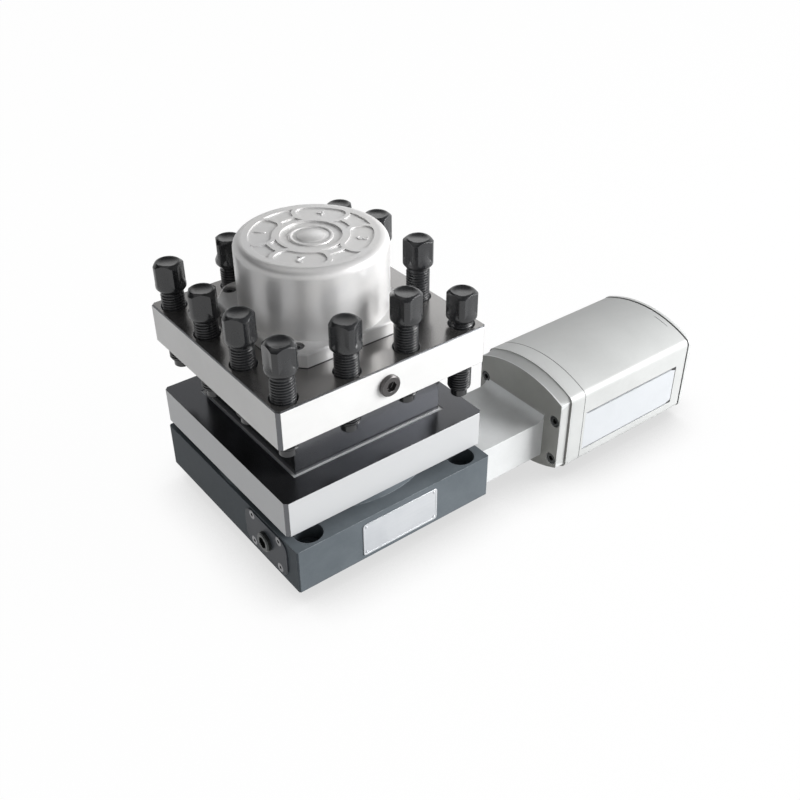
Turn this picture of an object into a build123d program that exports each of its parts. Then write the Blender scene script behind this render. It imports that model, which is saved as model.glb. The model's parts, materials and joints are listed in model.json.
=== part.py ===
from build123d import *
import math
import os

# Four-station lathe tool turret, in millimetres.
# X runs along the worm towards the motor, -Y is the front face, Z is up.
# The origin is the turret's axis at the underside of the base.

# Fits
run_gap = 0.05          # radial, between a turning or sliding piece and its bore
seat_gap = 0.03         # radial, between a fixed piece and the hole that it sits in
lift_gap = 0.3          # under the turning body, above the pad
crest_gap = 0.3         # left over the crests of the face teeth when they are locked

# Base
base_height = 34.7
base_edge = 1.0
base_back_margin = 1.5   # behind the tool body
pad_inset = 1.5          # from the sides of the base to the pad
pad_rise = 5.3
mount_hole_radius = 6.75
mount_head_radius = 10.0
mount_head_depth = 14.0
mount_inset_x = 16.5
mount_inset_y = 12.5
mount_clearance = 3.0    # between the front mounting holes and the worm's bore

# Tool body
body_width = 161.0
body_corner = 2.3
body_edge = 0.8
lower_flange = 27.7
slot_height = 42.0
upper_flange = 27.8
slot_depth = 21.7
slot_relief = 2.5
slot_relief_depth = 0.5

# Worm and wheel
gear_module = 2.5
wheel_teeth = 34
wheel_width = 17.0
worm_pitch_radius = 10.0
worm_turns = 6
worm_height = 18.7      # worm axis above the underside of the base
tooth_addendum = 1.8
tooth_dedendum = 2.2
pressure_angle = 20.0
backlash = 0.35
worm_journal_radius = 6.0
worm_bore_radius = 12.0
worm_bearing_width = 6.0
worm_bearing_inset = 8.5  # from the sides of the base to the outer face of each bearing

# Centre shaft
foot_radius = 54.0
foot_thickness = 4.5
foot_recess = 0.7
foot_screw_radius = 2.0
foot_screw_circle = 49.7
foot_screw_length = 11.0
shaft_radius = 14.0
shaft_bore_radius = 5.0
post_radius = 10.0
post_height = 42.0
tail_radius = 8.0

# Lifting sleeve
sleeve_foot_radius = 20.0
sleeve_collar_radius = 24.0
sleeve_collar_height = 2.8
sleeve_neck_radius = 22.0
sleeve_screw_radius = 27.0
sleeve_screw_start = 46.0
sleeve_screw_height = 20.5
sleeve_bottom_gap = 0.05
key_width = 6.0
key_height = 6.0
thrust_height = 5.0
thrust_radius = 27.0

# Gear chamber
chamber_side_gap = 1.0
chamber_top_gap = 1.5
deck_hole_radius = 27.6

# Face teeth
face_teeth = 24
face_tooth_height = 3.0
bar_root_width = 5.2
bar_tip_width = 3.6
bar_side_gap = 0.15
fixed_ring_height = 12.0
fixed_ring_width = 9.5
register_height = 3.0
ring_gap = 1.5           # between the fixed ring and the ring in the tool body
body_ring_teeth = 8.0    # radial length of that ring's toothed part
body_ring_flange = 7.0   # and of the flange round it
body_ring_rim = 7.7
body_ring_bottom_gap = 1.0
body_ring_screws = 6
body_ring_screw_inset = 3.8
body_ring_screw_start = 30.0
body_ring_screw_radius = 2.0
body_ring_screw_length = 16.0
lock_ring_height = 9.0
lock_travel = 4.5
lock_head_gap = 1.2
guide_pins = 3
guide_pin_radius = 4.0
guide_pin_wall = 1.4     # between the pins and the hole in the deck
guide_pin_edge = 1.0     # between the pins and the fixed ring
guide_pin_depth = 9.0
pin_start = 90.0
guide_pin_gap = 0.1

# Dust seal
seal_inset = 5.0         # from the edge of the pad
seal_width = 3.5
seal_height = 1.8

# Bush and upper chamber
well_inset = 6.0         # inside the cap's wall
well_floor = 32.0       # from the slot floor up to the floor of the upper chamber
clutch_gap = 2.0
clutch_thickness = 8.0
clutch_pin_radius = 4.0
clutch_side_gap = 4.0    # round the clutch disc
clutch_pin_inset = 4.0   # from the disc's rim to the pins' circle
clutch_pin_wall = 4.0   # of the tool body between a pin and the bush
clutch_pin_grip = 2.8
clutch_pin_play = 0.4
clutch_pin_length = 19.0
clutch_pin_travel = 3.5
clutch_pin_side_gap = 0.5
spring_length = 8.0
spring_wire = 1.0
spring_turns = 4
top_thrust_height = 6.0
nut_height = 10.0
nut_radius = 24.0
nut_slots = 4
nut_slot_width = 6.0
nut_slot_depth = 3.0

# Sensor
board_side_gap = 14.5    # round the board, inside the cap
board_thickness = 1.6
board_nut_radius = 11.0
board_nut_height = 5.0
magnet_radius = 3.0
magnet_width = 12.0
magnet_depth = 7.0
magnet_reach = 19.0
magnet_gap = 3.0

# Cap
cap_wall = 5.5
cap_height = 57.7
cap_round = 6.0
cap_foot_half = 51.8
cap_foot_rim = 1.8       # of the foot outside the cap's wall
cap_foot_cut = 11.5
cap_foot_back = 4.4      # how much further the foot reaches at the back
cap_foot_round = 10.0
cap_foot_edge = 0.8
cap_foot_thickness = 9.4
gasket_thickness = 0.5
cap_screw_inset = 12.2
cap_back_screw_side = 15.3   # from the foot's sides
cap_back_screw_inset = 8.1
cap_screw_radius = 2.5
cap_screw_head_radius = 4.25
cap_screw_head_height = 5.0
cap_screw_sink = 6.0
cap_screw_length = 16.0
cap_screw_side_gap = 0.5
dial_inset = 10.0
dial_depth = 0.8
centre_depth = 1.2
pocket_span = 57.0
pocket_round = 6.0
rib_width = 3.0

# Side plug
plug_radius = 7.4
plug_proud = 3.0
plug_stem_radius = 5.0
plug_stem_length = 12.0
plug_drop = 13.4        # from the top face down to the plug's axis
plug_socket = 7.0

# Clamp bolts
bolt_inset = 11.9       # from the sides of the tool body to each row of bolts
bolt_radius = 8.0
bolt_length = 80.0
bolt_square = 17.0
bolt_turned_radius = 10.3
bolt_top_radius = 7.6
bolt_dish = 0.5
bolt_crown = 2.2
bolt_ledge_top = 12.0   # where the flats start to run out
bolt_ledge_end = 16.0   # where they have run out
bolt_head_height = 18.5
bolt_cone = 2.8
bolt_cone_radius = 7.9
bolt_neck_radius = 7.2
bolt_neck = 1.0
bolt_dog_radius = 5.6
bolt_dog = 6.0
bolt_bevel = 1.0
bolt_sink = 1.2
# how far each head's top stands above the tool body, and how far its square is turned
bolt_stand = [33.0, 32.6, 36.6, 38.8, 36.6, 39.5, 24.6, 44.0, 44.2, 35.2, 38.0, 36.6]
bolt_turn = [43.0, 58.0, 40.0, 87.0, 32.0, 11.0, 5.0, 86.0, 26.0, 60.0, 50.0, 65.0]

# Worm end cover
cover_width = 51.0
cover_height = 29.4
cover_round = 8.0
cover_thickness = 4.0
cover_sink = 3.0
cover_screw_x = 32.7
cover_screw_z = 22.9
cover_screw_radius = 2.0
cover_screw_head_radius = 3.2
cover_screw_length = 12.0
cover_screw_head = 2.4
cover_spigot_bore = 7.5
access_radius = 7.0
access_proud = 3.0
access_socket = 8.0

# Connecting seat
seat_width = 62.0
seat_height = 31.4
seat_length = 59.5
seat_bore = 12.5
seat_spigot_bore = 9.5
seat_spigot_wall = 3.5
seat_round = 8.0
seat_screw_y = 20.0
seat_screw_z = 11.0
seat_screw_radius = 2.5
seat_screw_head_radius = 4.25
seat_screw_head_height = 5.0
seat_screw_grip = 6.0

# Motor housing
motor_shift_y = 4.1     # housing centre in front of the worm's axis
motor_shift_z = 9.6     # housing centre above the worm's axis
plate_half_width = 43.0
plate_half_flat = 28.1
plate_arch = 10.2
plate_thickness = 9.0
plate_screw_inset = 5.6
plate_screw_top = 11.6
plate_screw_bottom = 22.6
plate_screw_radius = 2.5
plate_screw_head_radius = 4.25
plate_screw_head_height = 5.0
plate_screw_sink = 5.5
plate_screw_length = 32.0
house_half_width = 44.5
house_half_flat = 30.3
house_arch = 11.2
house_corner = 6.0
house_wall = 4.5
boss_radius = 5.0
bell_length = 14.0
house_length = 114.0
end_cap_thickness = 4.5
end_cap_round = 1.5
end_screw_radius = 2.0
end_screw_head_radius = 3.5
end_screw_sink = 2.6
end_screw_length = 16.0
strip_start = 2.5
strip_length = 101.0
strip_bottom = 22.2     # below the housing's centre
strip_top = 12.1        # above the housing's centre
strip_thickness = 2.0
strip_gap = 0.8

# Motor
motor_shaft_radius = 6.0
motor_bearing_radius = 11.0
motor_bearing_width = 7.0
motor_bearing_inset = 2.0
shell_radius = 26.8
shell_wall = 1.8
shell_seat = 3.0
shell_length = 80.0
stator_length = 54.0
stator_start = 8.0
stator_bore = 14.2
winding_length = 5.5
winding_inset = 1.5
rotor_gap = 0.6
rotor_inset = 1.0
bracket_thickness = 8.0
coupling_radius = 11.0
coupling_hub = 15.0
coupling_start = 7.5
coupling_jaw = 6.0
coupling_jaws = 3
coupling_side_gap = 0.1
coupling_jaw_width = 4.4

# Heights and lengths that follow from the sizes above
pad_top = base_height + pad_rise
body_bottom = pad_top + lift_gap
slot_floor = body_bottom + lower_flange
slot_top = slot_floor + slot_height
body_top = slot_top + upper_flange
body_half = body_width / 2
base_width = body_width
pad_radius = base_width / 2 - pad_inset
bolt_offset = body_half - bolt_inset
core_half = body_half - slot_depth
wheel_pitch_radius = gear_module * wheel_teeth / 2
worm_offset = wheel_pitch_radius + worm_pitch_radius
worm_bearing_out = base_width / 2 - worm_bearing_inset
mount_front = worm_offset + worm_bore_radius + mount_head_radius + mount_clearance
base_front = mount_front + mount_inset_y
base_back = body_half + base_back_margin
guide_pin_circle = deck_hole_radius + guide_pin_radius + guide_pin_wall
register_radius = guide_pin_circle + guide_pin_radius + guide_pin_edge
fixed_ring_radius = register_radius + fixed_ring_width
body_ring_inner = fixed_ring_radius + ring_gap
cavity_radius = body_ring_inner + body_ring_teeth
body_ring_radius = cavity_radius + body_ring_flange
body_ring_screw_circle = body_ring_radius - body_ring_screw_inset
seal_inner = pad_radius - seal_inset
cap_radius = cap_foot_half - cap_foot_rim
well_radius = cap_radius - well_inset
clutch_radius = well_radius - clutch_side_gap
clutch_pin_circle = clutch_radius - clutch_pin_inset
bush_radius = clutch_pin_circle - clutch_pin_radius - clutch_pin_wall
board_radius = cap_radius - cap_wall - board_side_gap
cap_screw_offset = cap_foot_half - cap_screw_inset
cap_back_screw_x = cap_foot_half - cap_back_screw_side
cap_back = cap_foot_half + cap_foot_back
cap_back_screw_y = cap_back - cap_back_screw_inset
ring_radius = cap_radius - dial_inset
inner_ring_radius = ring_radius / 2
pocket_inner = 0.625 * ring_radius
wedge_inner = 0.565 * ring_radius
wedge_outer = 0.675 * ring_radius
axial_pitch = math.pi * gear_module
lead_angle = math.atan(axial_pitch / (2 * math.pi * worm_pitch_radius))
wheel_radius = wheel_pitch_radius + tooth_addendum
wheel_bottom = worm_height - wheel_width / 2
wheel_top = worm_height + wheel_width / 2
foot_top = foot_recess + foot_thickness
chamber_radius = wheel_radius + chamber_side_gap
chamber_top = wheel_top + chamber_top_gap
ring_top = pad_top + fixed_ring_height
lock_bottom = ring_top + crest_gap + lock_travel
lock_top = lock_bottom + lock_ring_height
cavity_top = lock_top + lock_head_gap
well_bottom = slot_floor + well_floor
clutch_bottom = well_bottom + clutch_gap
clutch_top = clutch_bottom + clutch_thickness
nut_bottom = clutch_top + top_thrust_height
nut_top = nut_bottom + nut_height
post_bottom = nut_top + 4.0
board_bottom = post_bottom + post_height
cap_bottom = body_top + gasket_thickness
cap_top = cap_bottom + cap_height
cap_ceiling = cap_top - cap_wall
sleeve_bottom = wheel_bottom
plate_x = base_width / 2 + seat_length
bell_x = plate_x + plate_thickness
house_x = bell_x + bell_length
end_x = house_x + house_length
motor_y = -worm_offset - motor_shift_y
motor_z = worm_height + motor_shift_z
shell_x = house_x - shell_seat
shell_end = shell_x + shell_length
stator_x = shell_x + stator_start
stator_end = stator_x + stator_length
seat_end = plate_x + plate_thickness
coupling_x = base_width / 2 + coupling_start
coupling_mid = coupling_x + coupling_hub
coupling_end = coupling_mid + coupling_jaw + coupling_hub
bolt_places = [(-1, 1), (-1, 1 / 3), (-1, -1 / 3), (-1, -1), (-1 / 3, -1), (1 / 3, -1),
               (1, -1), (1, -1 / 3), (1, 1 / 3), (1, 1), (1 / 3, 1), (-1 / 3, 1)]


def rod(radius, low, high, x=0.0, y=0.0):
    """Upright cylinder between two heights."""
    return Pos(x, y, (low + high) / 2) * Cylinder(radius, high - low)


def tube(outer, inner, low, high, x=0.0, y=0.0):
    """Upright tube between two heights."""
    return rod(outer, low, high, x, y) - rod(inner, low - 1, high + 1, x, y)


def bar(radius, start, end, y=-worm_offset, z=worm_height):
    """Cylinder along X, by default on the worm's axis."""
    turned = Rot(0, 90, 0) * Cylinder(radius, end - start)
    return Pos((start + end) / 2, y, z) * turned


def pipe(outer, inner, start, end, y=-worm_offset, z=worm_height):
    """Tube along X, by default on the worm's axis."""
    return bar(outer, start, end, y, z) - bar(inner, start - 1, end + 1, y, z)


def block(x0, x1, y0, y1, z0, z1):
    """Box between two corners."""
    return Pos((x0 + x1) / 2, (y0 + y1) / 2, (z0 + z1) / 2) * Box(x1 - x0, y1 - y0, z1 - z0)


def hexagon(across, depth):
    """Hexagonal prism on the Z axis, from zero up."""
    return extrude(RegularPolygon(across / 2, 6, major_radius=False), depth)


def joined(pieces):
    """Separate solids held together as one group."""
    return Compound(children=[solid for piece in pieces for solid in piece.solids()])


def across_x(x, y=0.0, z=0.0):
    """Plane that faces +X, with its own x along Y and its own y along Z."""
    return Plane(origin=(x, y, z), x_dir=(0, 1, 0), z_dir=(1, 0, 0))


def mount_points():
    """Centres of the four mounting holes."""
    x = base_width / 2 - mount_inset_x
    return [(-x, -mount_front), (x, -mount_front),
            (-x, base_back - mount_inset_y), (x, base_back - mount_inset_y)]


def cover_screw_points():
    """Screws of the worm end cover, as (y, z)."""
    return [(-worm_offset + side * cover_screw_x / 2, worm_height + up * cover_screw_z / 2)
            for side in (-1, 1) for up in (-1, 1)]


def seat_screw_points():
    """Screws that hold the connecting seat to the base, as (y, z)."""
    return [(-worm_offset + side * seat_screw_y, worm_height + up * seat_screw_z)
            for side in (-1, 1) for up in (-1, 1)]


def plate_screw_points():
    """Screws of the motor plate and of the rear cap, as (y, z)."""
    y = plate_half_width - plate_screw_inset
    return [(motor_y + side * y, motor_z + z)
            for side in (-1, 1) for z in (-plate_screw_bottom, plate_screw_top)]


def foot_screw_points():
    """Screws of the centre shaft's foot, clear of the worm bore."""
    return [(foot_screw_circle * math.cos(math.radians(angle)),
             foot_screw_circle * math.sin(math.radians(angle))) for angle in (45, 135, 225, 315)]


def circle_points(radius, count, start=pin_start):
    """Points evenly spaced on a circle about the turret's axis."""
    angles = [math.radians(start + 360 * k / count) for k in range(count)]
    return [(radius * math.cos(angle), radius * math.sin(angle)) for angle in angles]


def cap_screw_points():
    """The cap's four screws."""
    return [(-cap_screw_offset, -cap_screw_offset), (cap_screw_offset, -cap_screw_offset),
            (-cap_back_screw_x, cap_back_screw_y), (cap_back_screw_x, cap_back_screw_y)]


def cover_outline(grow=0.0):
    """Outline of the worm end cover, on its own centre."""
    return RectangleRounded(cover_width + 2 * grow, cover_height + 2 * grow, cover_round + grow)


def motor_outline(half_width, half_flat, arch):
    """Flat sides joined by an arched top and bottom, on its own centre."""
    top = half_flat + arch
    left = Line((-half_width, -half_flat), (-half_width, half_flat))
    over = ThreePointArc((-half_width, half_flat), (0, top), (half_width, half_flat))
    right = Line((half_width, half_flat), (half_width, -half_flat))
    under = ThreePointArc((half_width, -half_flat), (0, -top), (-half_width, -half_flat))
    return make_face([left, over, right, under])


def motor_prism(x0, x1, inset=0.0):
    """Length of the housing's section, with its four long corners rounded."""
    outline = motor_outline(house_half_width - inset, house_half_flat - inset / 2, house_arch - inset / 2)
    rounded = fillet(outline.vertices(), max(house_corner - inset, 1.0))
    return extrude(across_x(x0, motor_y, motor_z) * rounded, x1 - x0)


def face_bars(inner, outer, tip_z, height, grow):
    """Radial bars with sloped sides: wide at the top, narrow at tip_z."""
    tip = bar_tip_width / 2 + grow
    root = bar_root_width / 2 + grow
    section = Polygon((-tip, 0), (tip, 0), (root, height), (-root, height), align=None)
    one = extrude(across_x(inner, 0, tip_z) * section, outer - inner)
    return [Rot(0, 0, 360 * k / face_teeth) * one for k in range(face_teeth)]


def socket_screw(radius, length, head_radius, head_height, socket):
    """Socket head screw pointing down, its head's underside at zero."""
    stem = rod(radius, -length, 0)
    head = rod(head_radius, 0, head_height)
    return stem + head - Pos(0, 0, head_height / 2) * hexagon(socket, head_height)


def along_x(piece, x, y, z, toward=1):
    """Lay an upright piece along X, its top facing +X or -X."""
    return Pos(x, y, z) * Rot(0, 90 * toward, 0) * piece


def base_housing():
    half = base_width / 2
    body = block(-half, half, -base_front, base_back, 0, base_height)
    body = chamfer(body.edges().filter_by(Axis.Z), base_edge)
    body += rod(pad_radius, base_height, pad_top)
    body += rod(register_radius - seat_gap, pad_top, pad_top + register_height)
    body -= rod(foot_radius, -1, foot_top)
    body -= rod(chamber_radius, foot_top, chamber_top)
    body -= rod(deck_hole_radius, chamber_top - 1, pad_top + register_height + 1)
    body -= bar(worm_bore_radius, -half - 1, half + 1)
    for x, y in mount_points():
        body -= rod(mount_hole_radius, -1, base_height + 1, x, y)
        body -= rod(mount_head_radius, base_height - mount_head_depth, pad_top, x, y)
    for x, y in foot_screw_points():
        body -= rod(foot_screw_radius + seat_gap, foot_top - 1, foot_recess + foot_screw_length + 1, x, y)
    for x, y in circle_points(guide_pin_circle, guide_pins):
        body -= rod(guide_pin_radius + seat_gap, pad_top - guide_pin_depth, pad_top + register_height + 1, x, y)
    recess = extrude(across_x(-half - 1, -worm_offset, worm_height) * cover_outline(seat_gap), cover_sink + 1)
    body -= recess
    for y, z in cover_screw_points():
        body -= bar(cover_screw_radius + seat_gap, -half - 1, -half - cover_thickness + cover_sink
                    + cover_screw_length + 1, y, z)
    for y, z in seat_screw_points():
        body -= bar(seat_screw_radius + seat_gap, half - seat_screw_grip - 0.5, half + 1, y, z)
    return body


def centre_shaft():
    foot = rod(foot_radius - seat_gap, foot_recess, foot_top)
    column = rod(shaft_radius, foot_recess, post_bottom)
    post = rod(post_radius, post_bottom, board_bottom)
    tail = rod(tail_radius, board_bottom, board_bottom + board_thickness + board_nut_height + 1)
    body = foot + column + post + tail
    body -= rod(shaft_bore_radius, -1, cap_top)
    for x, y in foot_screw_points():
        body -= rod(foot_screw_radius + seat_gap, 0, foot_top + 1, x, y)
        body -= Pos(x, y, foot_recess + 1) * Cone(foot_screw_radius * 2 + 0.1, foot_screw_radius + 0.1, 2)
    return body


def foot_screws():
    stem = rod(foot_screw_radius, foot_recess, foot_recess + foot_screw_length)
    head = Pos(0, 0, foot_recess + 1) * Cone(foot_screw_radius * 2, foot_screw_radius, 2)
    screw = stem + head - Pos(0, 0, foot_recess - 0.5) * hexagon(2.5, 1.5)
    return joined([Pos(x, y, 0) * screw for x, y in foot_screw_points()])


def fixed_tooth_ring():
    ring = tube(fixed_ring_radius, register_radius, pad_top, ring_top)
    cuts = face_bars(register_radius - 2, fixed_ring_radius + 1, ring_top - face_tooth_height,
                     face_tooth_height, bar_side_gap)
    return ring - cuts


def guide_pin_set():
    top = lock_top - lock_head_gap
    pin = rod(guide_pin_radius, pad_top - guide_pin_depth, top)
    pin = chamfer(pin.edges().sort_by(Axis.Z)[-1], 0.6)
    return joined([Pos(x, y, 0) * pin for x, y in circle_points(guide_pin_circle, guide_pins)])


def dust_seal():
    return tube(seal_inner + seal_width, seal_inner, pad_top, pad_top + seal_height)


def lower_thrust_bearing():
    low = tube(thrust_radius, shaft_radius + seat_gap, foot_top, foot_top + 0.3 * thrust_height)
    high = tube(thrust_radius, shaft_radius + seat_gap, wheel_bottom - sleeve_bottom_gap
                - 0.3 * thrust_height, wheel_bottom - sleeve_bottom_gap)
    cage = tube(thrust_radius - 2, shaft_radius + 2, foot_top + 0.3 * thrust_height,
                wheel_bottom - sleeve_bottom_gap - 0.3 * thrust_height)
    return low + cage + high


def ball_bearing(outer, inner, start, width):
    """Ball bearing on the worm's axis, with a groove in each face between its two races."""
    race = 0.3 * (outer - inner)
    ring = pipe(outer, inner, start, start + width)
    for face in (start, start + width):
        ring -= pipe(outer - race, inner + race, face - 0.6, face + 0.6)
    return ring


def ball_bearings():
    """Two bearings of the worm, then two of the motor."""
    worm_outer, worm_inner = worm_bore_radius - seat_gap, worm_journal_radius + run_gap
    left = ball_bearing(worm_outer, worm_inner, -worm_bearing_out, worm_bearing_width)
    right = ball_bearing(worm_outer, worm_inner, worm_bearing_out - worm_bearing_width, worm_bearing_width)
    motor_inner = motor_shaft_radius + run_gap
    front = ball_bearing(motor_bearing_radius, motor_inner, bell_x + motor_bearing_inset, motor_bearing_width)
    rear = ball_bearing(motor_bearing_radius, motor_inner, shell_end - bracket_thickness, motor_bearing_width)
    return joined([left, right, front, rear])


def worm_end_cover():
    inner_face = -base_width / 2 + cover_sink
    plate = extrude(across_x(inner_face - cover_thickness, -worm_offset, worm_height) * cover_outline(),
                    cover_thickness)
    plate += bar(worm_bore_radius - seat_gap, inner_face, -worm_bearing_out)
    plate -= bar(cover_spigot_bore, inner_face, -worm_bearing_out + 1)
    plate -= bar(access_radius + seat_gap, inner_face - cover_thickness - 1, inner_face + 1)
    for y, z in cover_screw_points():
        plate -= bar(cover_screw_radius + seat_gap, inner_face - cover_thickness - 1, inner_face + 1, y, z)
        plate -= bar(cover_screw_head_radius + seat_gap, inner_face - cover_thickness - 1,
                     inner_face - cover_thickness + cover_screw_head, y, z)
    return plate


def end_cover_screws():
    face = -base_width / 2 + cover_sink - cover_thickness + cover_screw_head
    screw = socket_screw(cover_screw_radius, cover_screw_length - cover_screw_head,
                         cover_screw_head_radius, cover_screw_head, 2.5)
    return joined([along_x(screw, face, y, z, -1) for y, z in cover_screw_points()])


def worm_access_plug():
    inner = -base_width / 2 + cover_sink
    outer = inner - cover_thickness - access_proud
    plug = bar(access_radius, outer, inner)
    plug = chamfer(plug.edges().sort_by(Axis.X)[0], 0.8)
    return plug - along_x(hexagon(access_socket, 4.0), outer - 1, -worm_offset, worm_height)


def connecting_seat():
    half = base_width / 2
    low = worm_height - seat_height / 2
    arm = block(half, plate_x, -worm_offset - seat_width / 2, -worm_offset + seat_width / 2,
                low, low + seat_height)
    plate = extrude(across_x(plate_x, motor_y, motor_z)
                    * motor_outline(plate_half_width, plate_half_flat, plate_arch), plate_thickness)
    body = arm + plate
    joint = [edge for edge in body.edges().filter_by(Axis.Y)
             if abs(edge.center().X - plate_x) < 0.01 and abs(edge.center().Z - low - seat_height) < 0.01]
    body = fillet(joint, seat_round)
    body += bar(worm_bore_radius - seat_gap, worm_bearing_out, half)
    body -= bar(seat_spigot_bore, worm_bearing_out - 1, half + seat_spigot_wall)
    body -= bar(seat_bore, half + seat_spigot_wall, seat_end + 1)
    for y, z in seat_screw_points():
        body -= bar(seat_screw_radius + seat_gap, half - 1, seat_end + 1, y, z)
        body -= bar(seat_screw_head_radius + seat_gap, seat_end - seat_screw_head_height - 0.5,
                    seat_end + 1, y, z)
    for y, z in plate_screw_points():
        body -= bar(plate_screw_radius + seat_gap, plate_x - 1, seat_end + 1, y, z)
        body -= bar(plate_screw_head_radius + cap_screw_side_gap, plate_x - 1, plate_x + plate_screw_sink, y, z)
    return body


def seat_screws():
    under = seat_end - seat_screw_head_height - 0.5
    length = under - base_width / 2 + seat_screw_grip
    screw = socket_screw(seat_screw_radius, length, seat_screw_head_radius, seat_screw_head_height, 4.0)
    return joined([along_x(screw, under, y, z) for y, z in seat_screw_points()])


def plate_screws():
    screw = socket_screw(plate_screw_radius, plate_screw_length, plate_screw_head_radius,
                         plate_screw_head_height, 4.0)
    return joined([along_x(screw, plate_x + plate_screw_sink, y, z, -1) for y, z in plate_screw_points()])


def motor_front_bell():
    body = motor_prism(bell_x, house_x)
    body -= bar(motor_shaft_radius + 2, bell_x - 1, house_x + 1)
    body -= bar(motor_bearing_radius + seat_gap, bell_x + motor_bearing_inset, house_x + 1)
    body -= bar(shell_radius + seat_gap, shell_x, house_x + 1)
    for y, z in plate_screw_points():
        body -= bar(plate_screw_radius + seat_gap, bell_x - 1, house_x + 1, y, z)
    return body


def motor_housing():
    body = motor_prism(house_x, end_x)
    body -= motor_prism(house_x - 1, end_x + 1, house_wall)
    for y, z in plate_screw_points():
        inside = bar(boss_radius, house_x, end_x, y, z) & motor_prism(house_x, end_x, house_wall / 2)
        body += inside
    for y, z in plate_screw_points():
        body -= bar(plate_screw_radius + seat_gap, house_x - 1,
                    plate_x + plate_screw_sink + plate_screw_length + 1, y, z)
        body -= bar(end_screw_radius + seat_gap, end_x - end_screw_length, end_x + 1, y, z)
    side = motor_y - house_half_width
    body -= block(house_x + strip_start, house_x + strip_start + strip_length, side - 1, side + strip_thickness,
                  motor_z - strip_bottom, motor_z + strip_top)
    return body


def side_strip():
    side = motor_y - house_half_width
    return block(house_x + strip_start, house_x + strip_start + strip_length - strip_gap,
                 side, side + strip_thickness,
                 motor_z - strip_bottom + strip_gap, motor_z + strip_top - strip_gap)


def motor_end_cap():
    body = motor_prism(end_x, end_x + end_cap_thickness)
    rim = body.faces().sort_by(Axis.X)[-1].edges()
    body = fillet(rim, end_cap_round)
    for y, z in plate_screw_points():
        body -= bar(end_screw_radius + seat_gap, end_x - 1, end_x + end_cap_thickness + 1, y, z)
        body -= bar(end_screw_head_radius + seat_gap, end_x + end_cap_thickness - end_screw_sink,
                    end_x + end_cap_thickness + 1, y, z)
    return body


def end_cap_screws():
    under = end_x + end_cap_thickness - end_screw_sink
    screw = socket_screw(end_screw_radius, end_screw_length, end_screw_head_radius, end_screw_sink, 2.5)
    return joined([along_x(screw, under, y, z) for y, z in plate_screw_points()])


def stator_shell():
    return pipe(shell_radius, shell_radius - shell_wall, shell_x, shell_end)


def stator_core():
    core = pipe(shell_radius - shell_wall - seat_gap, stator_bore, stator_x, stator_end)
    slot = Pos(stator_bore + 3.5, 0, 0) * Box(5, 3, 2 * stator_length)
    mouths = [Rot(0, 0, 30 * k) * slot for k in range(12)]
    return core - [along_x(mouth, stator_x, -worm_offset, worm_height) for mouth in mouths]


def stator_windings():
    outer = shell_radius - shell_wall - winding_inset
    inner = stator_bore + winding_inset
    front = pipe(outer, inner, stator_x - winding_length, stator_x)
    rear = pipe(outer, inner, stator_end, stator_end + winding_length)
    return joined([front, rear])


def rear_bracket():
    body = bar(shell_radius - shell_wall - seat_gap, shell_end - bracket_thickness, shell_end)
    body -= bar(motor_bearing_radius + seat_gap, shell_end - bracket_thickness - 1,
                shell_end - bracket_thickness + motor_bearing_width)
    return body - bar(motor_shaft_radius + 1, shell_end - 2, shell_end + 1)


def worm_section():
    """The worm thread's section square to its axis, its crest towards +X."""
    slope = math.tan(math.radians(pressure_angle))
    half = axial_pitch / 4 - backlash / 2
    tip, foot = half - tooth_addendum * slope, half + tooth_dedendum * slope
    root, crest = worm_pitch_radius - tooth_dedendum, worm_pitch_radius + tooth_addendum

    def at(radius, along):
        angle = 2 * math.pi * along / axial_pitch
        return (radius * math.cos(angle), radius * math.sin(angle))

    flank = [(root + (crest - root) * k / 4, foot + (tip - foot) * k / 4) for k in range(5)]
    rising = [at(radius, along) for radius, along in flank]
    falling = [at(radius, -along) for radius, along in flank]
    over = ThreePointArc(rising[-1], (crest, 0), falling[-1])
    under = ThreePointArc(falling[0], at(root, axial_pitch / 2), rising[0])
    return make_face([Spline(*rising), over, Spline(*falling), under])


def worm_shaft():
    length = worm_turns * axial_pitch
    thread = Solid.extrude_linear_with_rotation(worm_section().faces()[0], (0, 0, -length / 2),
                                                (0, 0, length), 360 * worm_turns)
    shoulder = worm_bearing_out - worm_bearing_width
    collar = worm_pitch_radius - tooth_dedendum
    core = rod(collar, -shoulder, -length / 2) + rod(collar, length / 2, shoulder)
    left = rod(worm_journal_radius, -worm_bearing_out - 3, -shoulder)
    right = rod(worm_journal_radius, shoulder, coupling_mid - 2)
    body = Part() + thread + core + left + right
    body -= Pos(0, 0, -worm_bearing_out - 4) * hexagon(5.0, 7.0)
    return across_x(0, -worm_offset, worm_height).location * body


def coupling_half(start, jaws_at, toward):
    """Coupling hub with jaws that reach into the spider."""
    hub = bar(coupling_radius, start, start + coupling_hub)
    jaw_end = jaws_at + toward * (coupling_jaw - coupling_side_gap)
    jaws = pipe(coupling_radius, motor_shaft_radius, min(jaws_at, jaw_end), max(jaws_at, jaw_end))
    keep = Pos(coupling_radius, 0, 0) * Box(2 * coupling_radius, coupling_jaw_width, 3 * coupling_jaw)
    first = 0 if toward > 0 else 180 / coupling_jaws
    wedges = [along_x(Rot(0, 0, first + 360 * k / coupling_jaws) * keep, jaws_at, -worm_offset, worm_height)
              for k in range(coupling_jaws)]
    for wedge in wedges:
        hub += jaws & wedge
    return hub - bar(worm_journal_radius + seat_gap, start - 1, start + coupling_hub + 1)


def coupling_hubs():
    near = coupling_half(coupling_x, coupling_mid, 1)
    far = coupling_half(coupling_mid + coupling_jaw, coupling_mid + coupling_jaw, -1)
    return joined([near, far])


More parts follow.
